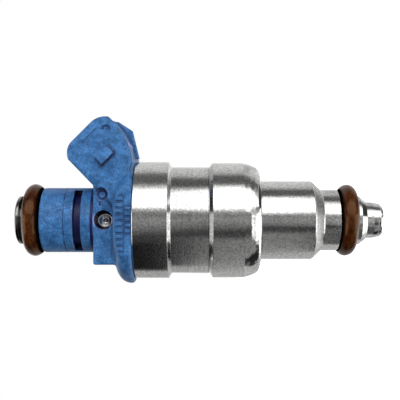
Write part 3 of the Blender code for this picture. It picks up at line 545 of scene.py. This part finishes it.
def lathe(name, corners, segments=160, step=0.5, relief=None):
    """A piece turned about Z. relief(points) gives how far each point stands proud."""
    profile, outward = filleted(corners, step)
    angles = np.arange(segments) * math.tau / segments
    cos, sin = np.cos(angles), np.sin(angles)

    def carried_round(pairs):
        """Each (radius, height) as a ring of points, or of directions."""
        radius, height = pairs[:, :1], pairs[:, 1:]
        return np.stack([radius * cos, radius * sin, np.repeat(height, segments, 1)], 2)

    points, normals = carried_round(profile), carried_round(outward)
    if relief:
        height = relief(points)
        back, ahead = np.roll(profile, 1, 0), np.roll(profile, -1, 0)
        run = np.linalg.norm(ahead - profile, axis=1) + np.linalg.norm(profile - back, axis=1)
        along = (ahead - back) / np.maximum(np.linalg.norm(ahead - back, axis=1, keepdims=True), 1e-9)
        rise = (np.roll(height, -1, 0) - np.roll(height, 1, 0)) / np.maximum(run, 1e-4)[:, None]
        arc_length = 2 * math.tau / segments * np.maximum(profile[:, 0, None], 0.05)
        around = (np.roll(height, -1, 1) - np.roll(height, 1, 1)) / arc_length
        sideways = np.broadcast_to(np.stack([-sin, cos, 0 * cos], 1), points.shape)
        points = points + normals * height[:, :, None]
        normals = normals - carried_round(along) * rise[:, :, None] - sideways * around[:, :, None]
        normals = normals / np.linalg.norm(normals, axis=2, keepdims=True)
    ring = np.arange(len(profile) * segments).reshape(-1, segments)
    ahead = np.roll(ring, -1, 0)
    quads = np.stack([ring, np.roll(ring, -1, 1), np.roll(ahead, -1, 1), ahead], 2).reshape(-1, 4)
    faces = quads if turns_left(profile) else quads[:, ::-1]
    return mesh_object(name, points.reshape(-1, 3), faces.tolist(), normals.reshape(-1, 3))


def rumple(points, size, seed):
    """Smooth noise at points, about -1 to 1."""
    flat = points.reshape(-1, 3) / size + seed
    return np.array([noise.noise(Vector(p)) for p in flat]).reshape(points.shape[:-1])


def bump_between(z, low, high, ease):
    """1 between two heights, easing to 0 past them."""
    up = share((z - low) / ease + 1)
    down = share((high - z) / ease + 1)
    return up * up * (3 - 2 * up) * down * down * (3 - 2 * down)


# ---- materials ----

class Nodes:
    """A node tree, with short ways to add nodes."""

    def __init__(self, tree):
        self.tree = tree

    def put(self, socket, value):
        if isinstance(value, bpy.types.NodeSocket):
            self.tree.links.new(value, socket)
        else:
            socket.default_value = value

    def add(self, kind, inputs=(), **settings):
        """A node. inputs gives each input's value or the socket that feeds it, by name or number."""
        node = self.tree.nodes.new("ShaderNode" + kind)
        for key, value in settings.items():
            setattr(node, key, value)
        for key, value in dict(inputs).items():
            self.put(node.inputs[key], value)
        return node

    def math(self, operation, *values):
        return self.add("Math", enumerate(values), operation=operation).outputs[0]

    def times(self, a, b):
        return self.math("MULTIPLY", a, b)

    def span(self, value, low, high, to_low=0.0, to_high=1.0, **settings):
        inputs = {"Value": value, "From Min": low, "From Max": high, "To Min": to_low, "To Max": to_high}
        return self.add("MapRange", inputs, **settings).outputs[0]

    def axes(self, vector):
        return self.add("SeparateXYZ", {0: vector}).outputs


class Look(Nodes):
    """A material around one Principled shader."""

    def __init__(self, name, **sockets):
        self.made = bpy.data.materials.new(name)
        self.made.use_nodes = True
        super().__init__(self.made.node_tree)
        self.shader = self.tree.nodes["Principled BSDF"]
        self.set(**sockets)
        self.place = self.add("TexCoord").outputs["Object"]

    def grain(self, size, detail=2.0, rough=0.5, stretch=(1, 1, 1), offset=0.0):
        """Noise whose blobs are about size millimetres across."""
        scale = [1 / (size * MM) * s for s in stretch]
        inputs = {"Vector": self.place, "Scale": scale, "Location": [offset] * 3}
        vector = self.add("Mapping", inputs).outputs["Vector"]
        inputs = {"Vector": vector, "Scale": 1.0, "Detail": detail, "Roughness": rough}
        return self.add("TexNoise", inputs).outputs["Fac"]

    def blend(self, amount, a, b, mode="MIX"):
        node = self.add("Mix", {"Factor": amount}, data_type="RGBA", blend_type=mode)
        colours = [s for s in node.inputs if s.type == "RGBA"]
        for socket, value in zip(colours, (a, b)):
            self.put(socket, (*value, 1.0) if isinstance(value, tuple) else value)
        return next(s for s in node.outputs if s.type == "RGBA")

    def value_of(self, name):
        return self.add("Attribute", attribute_name=name).outputs["Fac"]

    def relief(self, height, distance, before=None):
        """A bump whose full height is distance millimetres."""
        inputs = {"Height": height, "Distance": distance * MM, "Strength": 1.0}
        if before:
            inputs["Normal"] = before
        return self.add("Bump", inputs).outputs["Normal"]

    def set(self, **sockets):
        for key, value in sockets.items():
            self.put(self.shader.inputs[key.replace("_", " ")], value)
        return self.made


# Colours, in linear light
BLUE_DARK, BLUE_PALE = (0.025, 0.110, 0.285), (0.056, 0.196, 0.465)
BLUE_SHADE = (0.005, 0.007, 0.050)
BLUE_SEAM = (0.008, 0.03, 0.10)
BLUE_FOOT_SHADE = (0.004, 0.008, 0.060)
BLUE_VEIN = (0.014, 0.050, 0.170)
BLUE_RIM_SHADE = (0.006, 0.022, 0.085)
BLUE_HIGHLIGHT = (0.34, 0.40, 0.86)
BROWN_DARK, BROWN_PALE, BROWN_DUSTY = (0.018, 0.002, 0.001), (0.085, 0.022, 0.004), (0.17, 0.070, 0.022)
BROWN_CREVICE_SHADE = (0.003, 0.002, 0.001)
STEEL_TONE, STEEL_PAINTED_SHADE = (0.76, 0.76, 0.75), (0.10, 0.09, 0.08)


def blue_plastic():
    """Cloudy blue plastic, with painted shade in its recesses and on its rims, and painted pale highlights at
    its edges.
    """
    look = Look("blue_plastic_moulded", IOR=1.45)
    flecks = look.grain(0.42, 3.0, 0.65)
    base = look.blend(look.span(look.grain(1.7, 3.0, 0.6), 0.36, 0.64), BLUE_DARK, BLUE_PALE)
    base = look.blend(1.0, base, look.span(flecks, 0.36, 0.64, 0.66, 1.26), "MULTIPLY")
    # painted shade in the recesses, the clip groove, the window and around the bars
    base = look.blend(look.span(look.value_of("hollow_shade"), 0.12, 0.6), base, BLUE_SHADE)
    # the parting line around the neck, and painted shade at the neck's dark foot, where it meets the block
    x, y, z = look.axes(look.place)
    radius = look.math("SQRT", look.math("ADD", look.math("POWER", x, 2.0), look.math("POWER", y, 2.0)))
    on_neck = look.span(radius, (NECK_R + 0.04) * MM, (NECK_R + 0.12) * MM, 1.0, 0.0)
    breaks = look.span(look.grain(1.3, 2.0, offset=5.0), 0.38, 0.55, 0.25, 1.0)
    from_seam = look.math("ABSOLUTE", look.math("SUBTRACT", z, SEAM_Z * MM))
    seam = look.times(look.span(from_seam, 0.07 * MM, 0.16 * MM, 1.0, 0.0), on_neck)
    base = look.blend(look.times(seam, breaks), base, BLUE_SEAM)
    foot_low, foot_high = (BLOCK_HIGH[2] + 0.62) * MM, (BLOCK_HIGH[2] + 0.80) * MM
    foot = look.span(z, foot_low, foot_high, 1.0, 0.0)
    base = look.blend(look.times(foot, on_neck), base, BLUE_FOOT_SHADE)
    # thin dark veins, in patches
    veins = look.math("ABSOLUTE", look.math("SUBTRACT", look.grain(2.4, 2.0, 0.55, offset=11.0), 0.5))
    patches = look.span(look.grain(3.0, 1.0, offset=2.0), 0.50, 0.58)
    veins = look.times(look.span(veins, 0.004, 0.014, 1.0, 0.0), patches)
    base = look.blend(look.times(veins, 0.6), base, BLUE_VEIN)
    # painted shade on the outer half of the rounded rims
    base = look.blend(look.times(look.value_of("rim"), 0.75), base, BLUE_RIM_SHADE)
    # painted pale highlights along the edges, in patches
    painted_lighting = look.span(look.value_of("edge"), 0.22, 0.6)
    painted_lighting = look.times(painted_lighting, look.span(look.grain(0.9), 0.3, 0.6, 0.3, 0.95))
    base = look.blend(painted_lighting, base, BLUE_HIGHLIGHT)
    bump = look.relief(look.grain(0.30, 3.0, 0.6), 0.018)
    bump = look.relief(look.grain(1.5, 2.0, 0.5, (0.6, 1.0, 1.4)), 0.06, bump)
    return look.set(Base_Color=base, Roughness=look.span(flecks, 0.3, 0.7, 0.36, 0.52), Normal=bump)


def brown_rubber():
    """Brown rubber with streaks, with painted shade, nearly black, where it lies against its groove."""
    look = Look("brown_fluororubber", IOR=1.52, Specular_Tint=(1.0, 0.66, 0.36, 1.0))
    base = look.blend(look.span(look.grain(1.6, 3.0, 0.6), 0.3, 0.7), BROWN_DARK, BROWN_PALE)
    base = look.blend(look.span(look.grain(0.5, 2.0), 0.55, 0.8, 0, 0.5), base, BROWN_DUSTY)
    # painted shade where the ring lies against its neighbours, with its reflection taken away there too
    crevice_shade = look.value_of("crevice_shade")
    return look.set(
        Base_Color=look.blend(crevice_shade, base, BROWN_CREVICE_SHADE),
        Roughness=look.span(look.grain(0.6), 0.3, 0.7, 0.13, 0.24),
        Normal=look.relief(look.grain(0.45, 2.0), 0.012),
        Specular_IOR_Level=look.span(crevice_shade, 0.0, 0.8, 0.42, 0.0),
    )


def turned_steel(name, lines, speckle, rough=(0.08, 0.15), tone=STEEL_TONE, lined=None):
    """Steel with turning lines and fine speckle, in millimetres of relief. Lines are darker between lined."""
    look = Look(name, Metallic=1.0)
    ridges = look.grain(0.22, 2.0, 0.7, (0.02, 0.02, 1.0))
    specks = look.grain(0.33, 2.0, 0.65)
    darkest = 0.94
    if lined:
        z = look.axes(look.place)["Z"]
        above = look.math("GREATER_THAN", z, lined[0] * MM)
        below = look.math("LESS_THAN", z, lined[1] * MM)
        darkest = look.span(look.times(above, below), 0.0, 1.0, darkest, 0.78)
    paler = look.math("SUBTRACT", 1.0, darkest)
    line_shade = look.math("MULTIPLY_ADD", look.span(ridges, 0.35, 0.65), paler, darkest)
    shade = look.span(look.grain(1.4, 3.0), 0.3, 0.7, 0.93, 1.04)
    mottle = look.span(look.grain(0.42, 2.0, 0.7, offset=3.0), 0.33, 0.67, 0.68, 1.20)
    shade = look.times(look.times(shade, mottle), line_shade)
    base = look.blend(1.0, tone, shade, "MULTIPLY")
    # painted shade for dark reflections, on the bands that the attribute marks
    base = look.blend(look.span(look.value_of("painted_lighting"), 0.0, 1.0, 0.0, 0.75), base, STEEL_PAINTED_SHADE)
    blur = look.span(look.value_of("blur"), 0.0, 1.0, 0.0, 0.3)
    roughness = look.math("ADD", look.span(specks, 0.3, 0.7, *rough), blur)
    bump = look.relief(specks, speckle)
    bump = look.relief(ridges, lines, bump)
    bump = look.relief(look.grain(0.75, 1.0, 0.5, (0.01, 0.01, 1.0), 7.0), lines * 1.6, bump)
    return look.set(Base_Color=base, Roughness=roughness, Normal=bump)


def plain(name, colour, metallic, rough, size=0.6, relief=0.004, change=0.25, stretch=(1, 1, 1)):
    """A finish that varies in colour, gloss and relief at one scale."""
    look = Look(name, Metallic=metallic)
    patches = look.grain(size, 3.0, 0.6, stretch)
    low = tuple(c * (1 - change) for c in colour)
    base = look.blend(look.span(patches, 0.3, 0.7), low, colour)
    roughness = look.span(patches, 0.3, 0.7, rough * 0.8, rough * 1.25)
    return look.set(Base_Color=base, Roughness=roughness, Normal=look.relief(patches, relief))


def paint(node, look):
    """Gives a CAD node its finish."""
    piece = NODES[node]
    for place in piece.material_slots:
        place.material = look


# ---- surroundings ----

# What glossy surfaces mirror: bands of brightness by the mirrored direction. Most go by its degrees about Z,
# from the front towards +X, in five sets by its z, towards the inlet. A pair named MEETS holds the two values
# of z between which two sets blend.
SIDE_SHARED = (
    (-60, 0.25), (-42, 0.25), (-36, 0.18), (-31, 0.08), (-20, 0.06), (-15, 0.14), (-8, 0.22), (2, 0.32),
    (8, 0.3), (12, 0.25), (16, 0.38), (20, 0.74), (25, 1.9), (66, 1.9), (69, 1.3), (72, 0.8), (76, 0.27),
    (80, 0.14), (96, 0.13), (104, 0.38), (110, 0.58), (124, 0.73), (148, 0.76), (168, 1.0), (180, 1.2),
)
NOSE_SHARED = (
    (16, 0.35), (20, 0.55), (24, 0.85), (27, 1.9), (60, 1.9), (64, 0.96), (68, 0.92), (72, 0.75), (76, 0.3),
    (80, 0.14), (96, 0.15), (104, 0.36), (112, 0.52), (144, 0.56), (164, 0.88), (180, 0.7),
)
TURNING_BANDS = (  # well towards the nozzle, as the housing's heel turns
    (-180, 1.2), (-170, 1.0), (-160, 0.52), (-118, 0.5), (-112, 0.03), (-84, 0.02), (-79, 0.3),
    *SIDE_SHARED,
)
TURNING_MEETS_NOSE = (-0.36, -0.3)
NOSE_BANDS = (
    (-180, 0.5), (-128, 0.56), (-112, 0.62), (-108, 0.51), (-100, 0.2), (-90, 0.11), (-52, 0.1),
    (-44, 0.22), (-36, 0.37), (-32, 0.4), (-24, 0.35), (-18, 0.38), (-12, 0.56), (4, 0.58),
    (8, 0.52), (12, 0.42), *NOSE_SHARED,
)
NOSE_MEETS_LOW = (-0.235, -0.215)
LOW_BANDS = (
    (-180, 0.5), (-128, 0.56), (-112, 0.62), (-106, 0.51), (-100, 0.12), (-90, 0.09), (-50, 0.1),
    (-30, 0.09), (-24, 0.03), (-19, 0.03), (-15, 0.3), (4, 0.36), (8, 0.36), (12, 0.34), *NOSE_SHARED,
)
LOW_MEETS_SIDE = (-0.175, -0.155)
SIDE_BANDS = (  # level
    (-180, 1.2), (-170, 1.0), (-160, 0.52), (-124, 0.5), (-108, 0.41), (-88, 0.31), *SIDE_SHARED,
)
SIDE_MEETS_HIGH = (-0.03, 0.06)
HIGH_BANDS = (  # towards the inlet
    (-180, 1.4), (-168, 1.38), (-160, 0.92), (-150, 0.46), (-120, 0.46), (-116, 0.3), (-111, 0.05),
    (-106, 0.01), (-46, 0.01), (-40, 0.04), (-28, 0.06), (-16, 0.19), (-6, 0.27), (2, 0.3),
    (12, 0.22), (16, 0.25), (20, 0.41), (24, 0.95), (27, 1.9), (61, 1.9), (64, 1.1), (68, 0.72), (72, 0.42),
    (76, 0.22), (80, 0.14), (96, 0.15), (104, 0.29), (110, 0.55), (124, 0.74), (164, 0.78), (180, 1.4),
)
STEEP = (0.60, 0.78)  # the part along the axis, either way, from which the end bands take over
END_BANDS = (  # by the direction's x
    (-1, 0.4), (-0.82, 0.3), (-0.78, 0.04), (-0.52, 0.04), (-0.46, 1.9), (0.13, 1.9), (0.19, 0.03),
    (0.5, 0.06), (0.62, 0.5), (1, 0.6),
)
FRONT_END_BANDS = (  # by its x too, where it points to the front
    (-1, 0.03), (-0.60, 0.03), (-0.54, 1.9), (0.18, 1.9), (0.24, 0.3), (0.38, 0.3), (0.46, 1.9),
    (0.68, 1.9), (0.74, 0.08), (1, 0.3),
)
FRONT_MEETS_END = (-0.34, -0.2)  # the values of y between which those two blend
DULL_LIGHT = (0.03, 0.17)  # what lights dull surfaces, from the -X side to the +X side
RAMP_TOP = 2.0  # a ramp's colours end at 1, so they hold shares of this brightness


def make_world():
    """White to the camera, soft light on dull surfaces, and bands for glossy ones to mirror."""
    world = bpy.data.worlds.new("studio")
    bpy.context.scene.world = world
    world.use_nodes = True
    world.node_tree.nodes.clear()
    nodes = Nodes(world.node_tree)

    def meet(value, ends, a, b):
        """a where value is below the two ends, b above them, and a smooth change between."""
        return mixed(nodes.span(value, *ends, interpolation_type="SMOOTHSTEP"), a, b)

    def mixed(amount, a, b):
        return nodes.add("Mix", {"Factor": amount, "A": a, "B": b}, data_type="FLOAT").outputs[0]

    def ramp(value, low, high, stops):
        """stops are (place, brightness), with places from low to high."""
        along = nodes.math("DIVIDE", nodes.math("SUBTRACT", value, low), high - low)
        node = nodes.add("ValToRGB", {0: along})
        elements = node.color_ramp.elements
        while len(elements) > 1:
            elements.remove(elements[0])
        for n, (place, bright) in enumerate(stops):
            position = (place - low) / (high - low)
            element = elements[0] if n == 0 else elements.new(position)
            element.position = position
            element.color = (bright / RAMP_TOP,) * 3 + (1,)
        return nodes.times(node.outputs["Color"], RAMP_TOP)

    x, y, z = nodes.axes(nodes.add("TexCoord").outputs["Generated"])
    around = nodes.times(nodes.math("ARCTAN2", x, nodes.times(y, -1.0)), 180 / math.pi)
    sides = ramp(around, -180, 180, TURNING_BANDS)
    for ends, bands in ((TURNING_MEETS_NOSE, NOSE_BANDS), (NOSE_MEETS_LOW, LOW_BANDS),
                        (LOW_MEETS_SIDE, SIDE_BANDS), (SIDE_MEETS_HIGH, HIGH_BANDS)):
        sides = meet(z, ends, sides, ramp(around, -180, 180, bands))
    ends = meet(y, FRONT_MEETS_END, ramp(x, -1, 1, FRONT_END_BANDS), ramp(x, -1, 1, END_BANDS))
    mirrored = meet(nodes.math("ABSOLUTE", z), STEEP, sides, ends)
    path = nodes.add("LightPath")
    level = mixed(path.outputs["Is Glossy Ray"], meet(x, (-1.0, 1.0), *DULL_LIGHT), mirrored)
    level = mixed(path.outputs["Is Camera Ray"], level, 1.0)
    background = nodes.add("Background", {"Color": (1, 1, 1, 1), "Strength": level})
    nodes.add("OutputWorld", {"Surface": background.outputs[0]})


LIGHTS = (  # name, place, size and power
    ("key", (0.20, -0.44, 0.06), 0.30, 1.75),
    ("above", (0.05, 0.05, 0.55), 0.40, 0.75),
    ("behind", (-0.10, 0.50, 0.20), 0.40, 0.9),
)
LIT_PLACE = (0.0, 0.0, 0.03)
FLOOR_HALF = 3.0
FLOOR_GAP = 0.05  # millimetres below the nozzle
FLOOR_GLOW, FLOOR_GLOW_SEEN = 0.40, 0.95  # on the injector, and to the camera
SENSOR, LENS = 36.0, 62.19
CAMERA_PLACE = (0.00410, -0.14166, 0.02973)


def area_light(name, place, size, power):
    data = bpy.data.lights.new(name, "AREA")
    data.shape = "DISK"
    data.size = size
    data.energy = power
    made = in_scene(name, data)
    made.location = place
    made.rotation_euler = (Vector(LIT_PLACE) - Vector(place)).to_track_quat("-Z", "Y").to_euler()
    made.visible_glossy = False
    made.visible_camera = False


def make_studio():
    make_world()
    for light in LIGHTS:
        area_light(*light)
    bm = bmesh.new()
    bmesh.ops.create_grid(bm, x_segments=8, y_segments=8, size=FLOOR_HALF)
    mesh = bpy.data.meshes.new("floor")
    bm.to_mesh(mesh)
    bm.free()
    floor = in_scene("floor", mesh)
    floor.location = (0, 0, (NOSE_BOTTOM - FLOOR_GAP) * MM)
    floor.visible_glossy = False
    look = Look("pale_floor", Roughness=0.9)
    base = look.blend(look.span(look.grain(120.0, 2.0), 0.3, 0.7), (0.93, 0.93, 0.93), (0.96, 0.96, 0.96))
    seen = look.add("LightPath").outputs["Is Camera Ray"]
    glow = look.span(seen, 0.0, 1.0, FLOOR_GLOW, FLOOR_GLOW_SEEN)
    mesh.materials.append(look.set(Base_Color=base, Emission_Color=(1, 1, 1, 1), Emission_Strength=glow))


def make_camera():
    """The injector lies across the view, with its inlet at the left."""
    data = bpy.data.cameras.new("camera")
    data.sensor_width = SENSOR
    data.lens = LENS
    data.clip_start = 0.001
    camera = in_scene("camera", data)
    x, y, z = CAMERA_PLACE
    camera.matrix_world = Matrix(((0, 1, 0, x), (0, 0, -1, y), (-1, 0, 0, z), (0, 0, 0, 1)))
    bpy.context.scene.camera = camera
    bpy.context.scene.view_settings.view_transform = "Standard"


# ---- the injector ----
# Corners are (radius, height, fillet). Relief is a sum of raise * rumple(points, size, seed).

CAN_CORNERS = (
    (10.0, CAN_TOP, 0.1), (11.88, CAN_TOP, 0.22), (11.88, 35.95, 0.15), (10.82, 35.4, 0.12),
    (10.82, 27.9, 0.12), (11.72, 27.25, 0.15), (11.72, 21.1, 0.25), (11.47, 20.0, 2.0),
    (11.15, 19.15, 2.0), (10.82, 18.45, 0.9), (10.35, 17.98, 0.8), (9.5, 17.72, 1.2),
    (8.9, CAN_FOOT, 0.5), (8.09, CAN_FOOT, 0.12), (8.09, 18.85, 0.1), (10.0, 18.85, 0.1),
)
CAN_WAIST = (28.05, 35.4)
CAN_HEEL_TOP = 20.6
BODY_CORNERS = (
    (5.25, 26.9, 0.1), (9.9, 26.9, 0.1), (9.9, 19.2, 0.1), (8.0, 19.2, 0.1), (8.0, 7.25, 0.3),
    (7.85, 7.0, 0.3), (6.35, 5.4, 0.2), (6.2, 5.15, 0.2), (6.2, 1.85, 0.18), (3.72, 1.85, 0.1),
    (3.72, -3.8, 0.05), (3.65, -3.8, 0.03), (3.65, -5.2, 0.2), (3.5, -6.1, 0.04),
    (3.38, -6.16, 0.03), (3.4, -6.35, 0.05),
    *[(r, z, 0.1) for r, z in arc((2.3, -6.4), (1.1, 1.0), -12, -90, 5)],
    (2.1, NOSE_BOTTOM, 0.1), (2.1, -6.7, 0.06), (2.95, -6.7, 0.05), (2.95, -1.0, 0.1),
    (2.2, -1.0, 0.1), (2.2, 20.0, 0.1), (4.8, 20.0, 0.1), (4.8, 24.54, 0.05), (5.25, 24.54, 0.05),
)
LIP_HEIGHT, LIP_ROUND = 0.8, 0.38
LIP_ARC = arc((4.5, INLET_TOP - LIP_ROUND), (0.4, LIP_ROUND), 90, 0, 5)
CORE_CORNERS = (
    (2.65, INLET_TOP, 0.18), (*LIP_ARC[0], 0.05), *[(r, z, 0.1) for r, z in LIP_ARC[1:]],
    (4.9, INLET_TOP - LIP_HEIGHT, 0.12), (TUBE_R, INLET_TOP - LIP_HEIGHT, 0.1), (TUBE_R, 50.2, 0.02),
    (TUBE_R, 47.0, 0.02), (TUBE_R, 41.15, 0.1), (5.2, 41.15, 0.1), (5.2, 33.2, 0.1), (4.5, 33.2, 0.1),
    (4.5, 30.0, 0.1), (2.1, 30.0, 0.1), (2.1, 51.45, 0.1), (2.65, 52.0, 0.1),
)
COLLAR_CORNERS = (
    (3.78, COLLAR_HIGH.z, 0.05), (4.95, COLLAR_HIGH.z, 0.08), (4.95, -2.55, 0.1),
    (4.1, COLLAR_LOW.z, 0.08), (3.78, COLLAR_LOW.z, 0.05),
)
CRIMP_R, CRIMP_DEPTH = 1.25, 0.36
PUNCH_R, PUNCH_DEPTH = 0.4, 0.16
CRIMP_RIM_R, CRIMP_RIM_WIDTH, CRIMP_RIM_RAISE = 1.4, 0.16, 0.05


def make_turned(name, node, look, corners, segments, step, relief, *marks):
    """A turned steel piece. marks are (attribute, low, high, ease, most), with low and high along Z."""
    made = lathe(name, corners, segments, step, relief)
    heights = np.array([v.co.z for v in made.data.vertices]) / MM
    for mark, low, high, ease, most in marks:
        attribute(made, mark, most * bump_between(heights, low, high, ease))
    give(made, look, "turned_steel", node)


def can_relief(points):
    heel = bump_between(points[:, :, 2], CAN_FOOT, CAN_HEEL_TOP, 0.8)
    return 0.035 * heel * rumple(points, 1.1, 3.1) + 0.015 * heel * rumple(points, 0.45, 9.7) \
        + 0.003 * rumple(points, 2.5, 5.0)


def body_relief(points):
    shoulder = bump_between(points[:, :, 2], 5.6, 7.6, 0.5)
    return 0.013 * shoulder * rumple(points, 0.9, 1.3) + 0.002 * rumple(points, 2.0, 8.0)


def core_relief(points):
    """The crimps that hold the adjusting sleeve: pits with a raised rim and a punched middle."""
    x, y, z = points[:, :, 0], points[:, :, 1], points[:, :, 2]
    outside = (np.hypot(x, y) > TUBE_R - 0.3) & (np.abs(y) > 1.0)
    away = np.hypot(np.arctan2(x, np.abs(y)) * TUBE_R, z - WINDOW_Z)
    pit = -CRIMP_DEPTH * share(1 - (away / CRIMP_R) ** 2)
    pit = pit - PUNCH_DEPTH * share(1 - (away / PUNCH_R) ** 2)
    rim = CRIMP_RIM_RAISE * np.exp(-(((away - CRIMP_RIM_R) / CRIMP_RIM_WIDTH) ** 2))
    return np.where(outside, pit + rim, 0) + 0.003 * rumple(points, 1.6, 2.0)


def collar_relief(points):
    return 0.004 * rumple(points, 0.9, 4.0)


def make_oring(name, node, look, lands, section=1.75, lean=0.0):
    """An O-ring, tilted by lean. lands are (side, start) of the painted shade from what it lies against, up
    or down.
    """
    low, high = span(node)
    centre_z = (high.z + low.z) / 2
    centre_r = high.x - section - 0.02
    corners = [(r, z, 0.02) for r, z in arc((centre_r, centre_z), (section, section), 0, 360, 48)[:-1]]

    def flash(points):
        """A faint parting line around the widest part, and slight waviness."""
        r, z = np.hypot(points[:, :, 0], points[:, :, 1]), points[:, :, 2]
        line = 0.025 * np.exp(-(((z - centre_z) / 0.09) ** 2)) * (r > centre_r)
        return line + 0.012 * rumple(points, 2.2, 6.0) - 0.012

    made = lathe(name, corners, 160, 0.5, flash)
    points = np.array([tuple(v.co) for v in made.data.vertices]) / MM
    # painted shade: on the ring's inner side and where it lies against its neighbours
    inward = (centre_r - np.hypot(points[:, 0], points[:, 1])) / section
    shade = share((inward + 0.12) / 0.3)
    for side, start in lands:
        shade = np.maximum(shade, share((side * (points[:, 2] - centre_z) / section - start) / 0.3))
    attribute(made, "crevice_shade", shade)
    points[:, 2] += lean * points[:, 0]
    made.data.vertices.foreach_set("co", (points * MM).ravel())
    give(made, look, "brown_rubber", node)


def make_spring(look):
    """The return spring, with closed ends. The real one shortens as the needle lifts; this one keeps one
    length.
    """
    low, high = span("return_spring")
    wire, radius, turns, end_turns, closed = 0.28, 1.45, 9, 1.5, 0.6
    bottom, top = low.z + wire, high.z - wire
    bends = (0, end_turns, turns - end_turns, turns)
    heights = (bottom, bottom + end_turns * closed, top - end_turns * closed, top)
    curve = bpy.data.curves.new("needle_spring", "CURVE")
    curve.dimensions = "3D"
    curve.bevel_depth = wire * MM
    curve.bevel_resolution = 3
    curve.use_fill_caps = True
    steps = 32
    spline = curve.splines.new("POLY")
    spline.points.add(turns * steps)
    for n, point in enumerate(spline.points):
        turn = n / steps
        angle = math.tau * turn
        place = Vector((radius * math.cos(angle), radius * math.sin(angle), np.interp(turn, bends, heights)))
        point.co = (*place * MM, 1)
    shaped = in_scene("spring_curve", curve)
    bpy.context.view_layer.update()
    mesh = bpy.data.meshes.new_from_object(shaped.evaluated_get(bpy.context.evaluated_depsgraph_get()))
    bpy.data.objects.remove(shaped)
    mesh.shade_smooth()
    made = in_scene("needle_spring", mesh)
    give(made, look, "spring_steel", "return_spring")
    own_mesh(made)


def make_blades(look):
    """The terminals, with eased edges."""
    for side in ("left", "right"):
        node = f"terminal_{side}"
        bm = bmesh.new()
        bm.from_mesh(NODES[node].data)
        bmesh.ops.remove_doubles(bm, verts=bm.verts, dist=1e-6)
        bmesh.ops.dissolve_limit(bm, angle_limit=math.radians(1), verts=bm.verts, edges=bm.edges)
        sharp = [e for e in bm.edges if len(e.link_faces) == 2 and e.calc_face_angle() > math.radians(30)]
        bmesh.ops.bevel(bm, geom=sharp, offset=0.07 * MM, segments=3, profile=0.5, affect="EDGES")
        mesh = bpy.data.meshes.new(f"blade_{side}")
        bm.to_mesh(mesh)
        bm.free()
        mesh.shade_smooth()
        mesh.set_sharp_from_angle(angle=math.radians(30))
        give(in_scene(f"blade_{side}", mesh), look, "tinned_blade", node)


def paint_inside():
    """The CAD nodes that stay as they are: all but the spring of what is inside."""
    for look, slot, *nodes in (
        (turned_steel("steel_inner", 0.0010, 0.0012, (0.25, 0.40), (0.55, 0.55, 0.55)), "plain_steel",
         "adjusting_sleeve", "flux_washer", "nonmagnetic_shell", "lift_shim", "armature_guide",
         "armature", "needle_guide_disc", "orifice_disc", "backup_washer"),
        (turned_steel("steel_hardened", 0.0005, 0.0006, (0.14, 0.22), (0.68, 0.68, 0.67)), "hardened_steel",
         "valve_needle", "valve_seat"),
        (plain("drawn_brass", (0.72, 0.53, 0.22), 1.0, 0.28, 0.5), "brass", "filter_collar"),
        (plain("white_nylon_moulded", (0.75, 0.74, 0.68), 0.0, 0.45, 1.2, 0.01, 0.08), "white_nylon",
         "filter_frame"),
        (plain("woven_gauze", (0.50, 0.50, 0.48), 0.7, 0.45, 0.12, 0.03, 0.6), "steel_gauze", "filter_mesh"),
        (plain("black_nylon_moulded", (0.030, 0.030, 0.035), 0.0, 0.45, 0.8, 0.01), "black_nylon",
         "coil_bobbin"),
        (plain("copper_turns", (0.62, 0.24, 0.09), 0.9, 0.32, 0.25, 0.06, 0.35, (0.02, 0.02, 1)),
         "copper_wire", "coil_winding"),
        (plain("black_seal_rubber", (0.020, 0.020, 0.020), 0.0, 0.5, 0.5, 0.01), "black_rubber",
         "upper_bobbin_seal", "lower_bobbin_seal"),
    ):
        for node in nodes:
            paint(node, look)


def build():
    make_moulding(blue_plastic())
    steel = turned_steel("steel_housing", 0.0003, 0.0080, lined=CAN_WAIST)
    # painted shade for the dark reflection on the chamfer at the waist's lower end
    make_turned("solenoid_housing", "solenoid_can", steel, CAN_CORNERS, 220, 0.35, can_relief,
                ("painted_lighting", 27.3, 28.0, 0.1, 0.75))
    steel = turned_steel("steel_body", 0.0002, 0.0080)
    make_turned("stepped_body", "valve_body", steel, BODY_CORNERS, 192, 0.35, body_relief,
                ("blur", 5.5, 7.0, 0.3, 1.0))
    steel = turned_steel("steel_tube", 0.0002, 0.0040)
    # painted shade for the dark reflection on the top of the lip
    make_turned("inlet_tube", "inlet_core", steel, CORE_CORNERS, 160, 0.16, core_relief,
                ("blur", WINDOW_Z - 1.3, WINDOW_Z + 1.3, 0.2, 0.2),
                ("painted_lighting", INLET_TOP - 1.2, INLET_TOP - 0.05, 0.1, 1.0))
    make_turned("lower_collar", "oring_collar", steel, COLLAR_CORNERS, 160, 0.2, collar_relief)
    rubber = brown_rubber()
    make_oring("rail_oring", "upper_oring", rubber, ((-1, 0.55), (1, 0.68)), 1.7)
    make_oring("manifold_oring", "lower_oring", rubber, ((1, 0.62), (-1, 0.78)), lean=-0.03)
    make_spring(plain("spring_wire", (0.50, 0.49, 0.47), 1.0, 0.25, 0.3))
    make_blades(plain("tin_plate", (0.66, 0.65, 0.60), 1.0, 0.24, 0.5))
    paint_inside()


build()
make_studio()
make_camera()
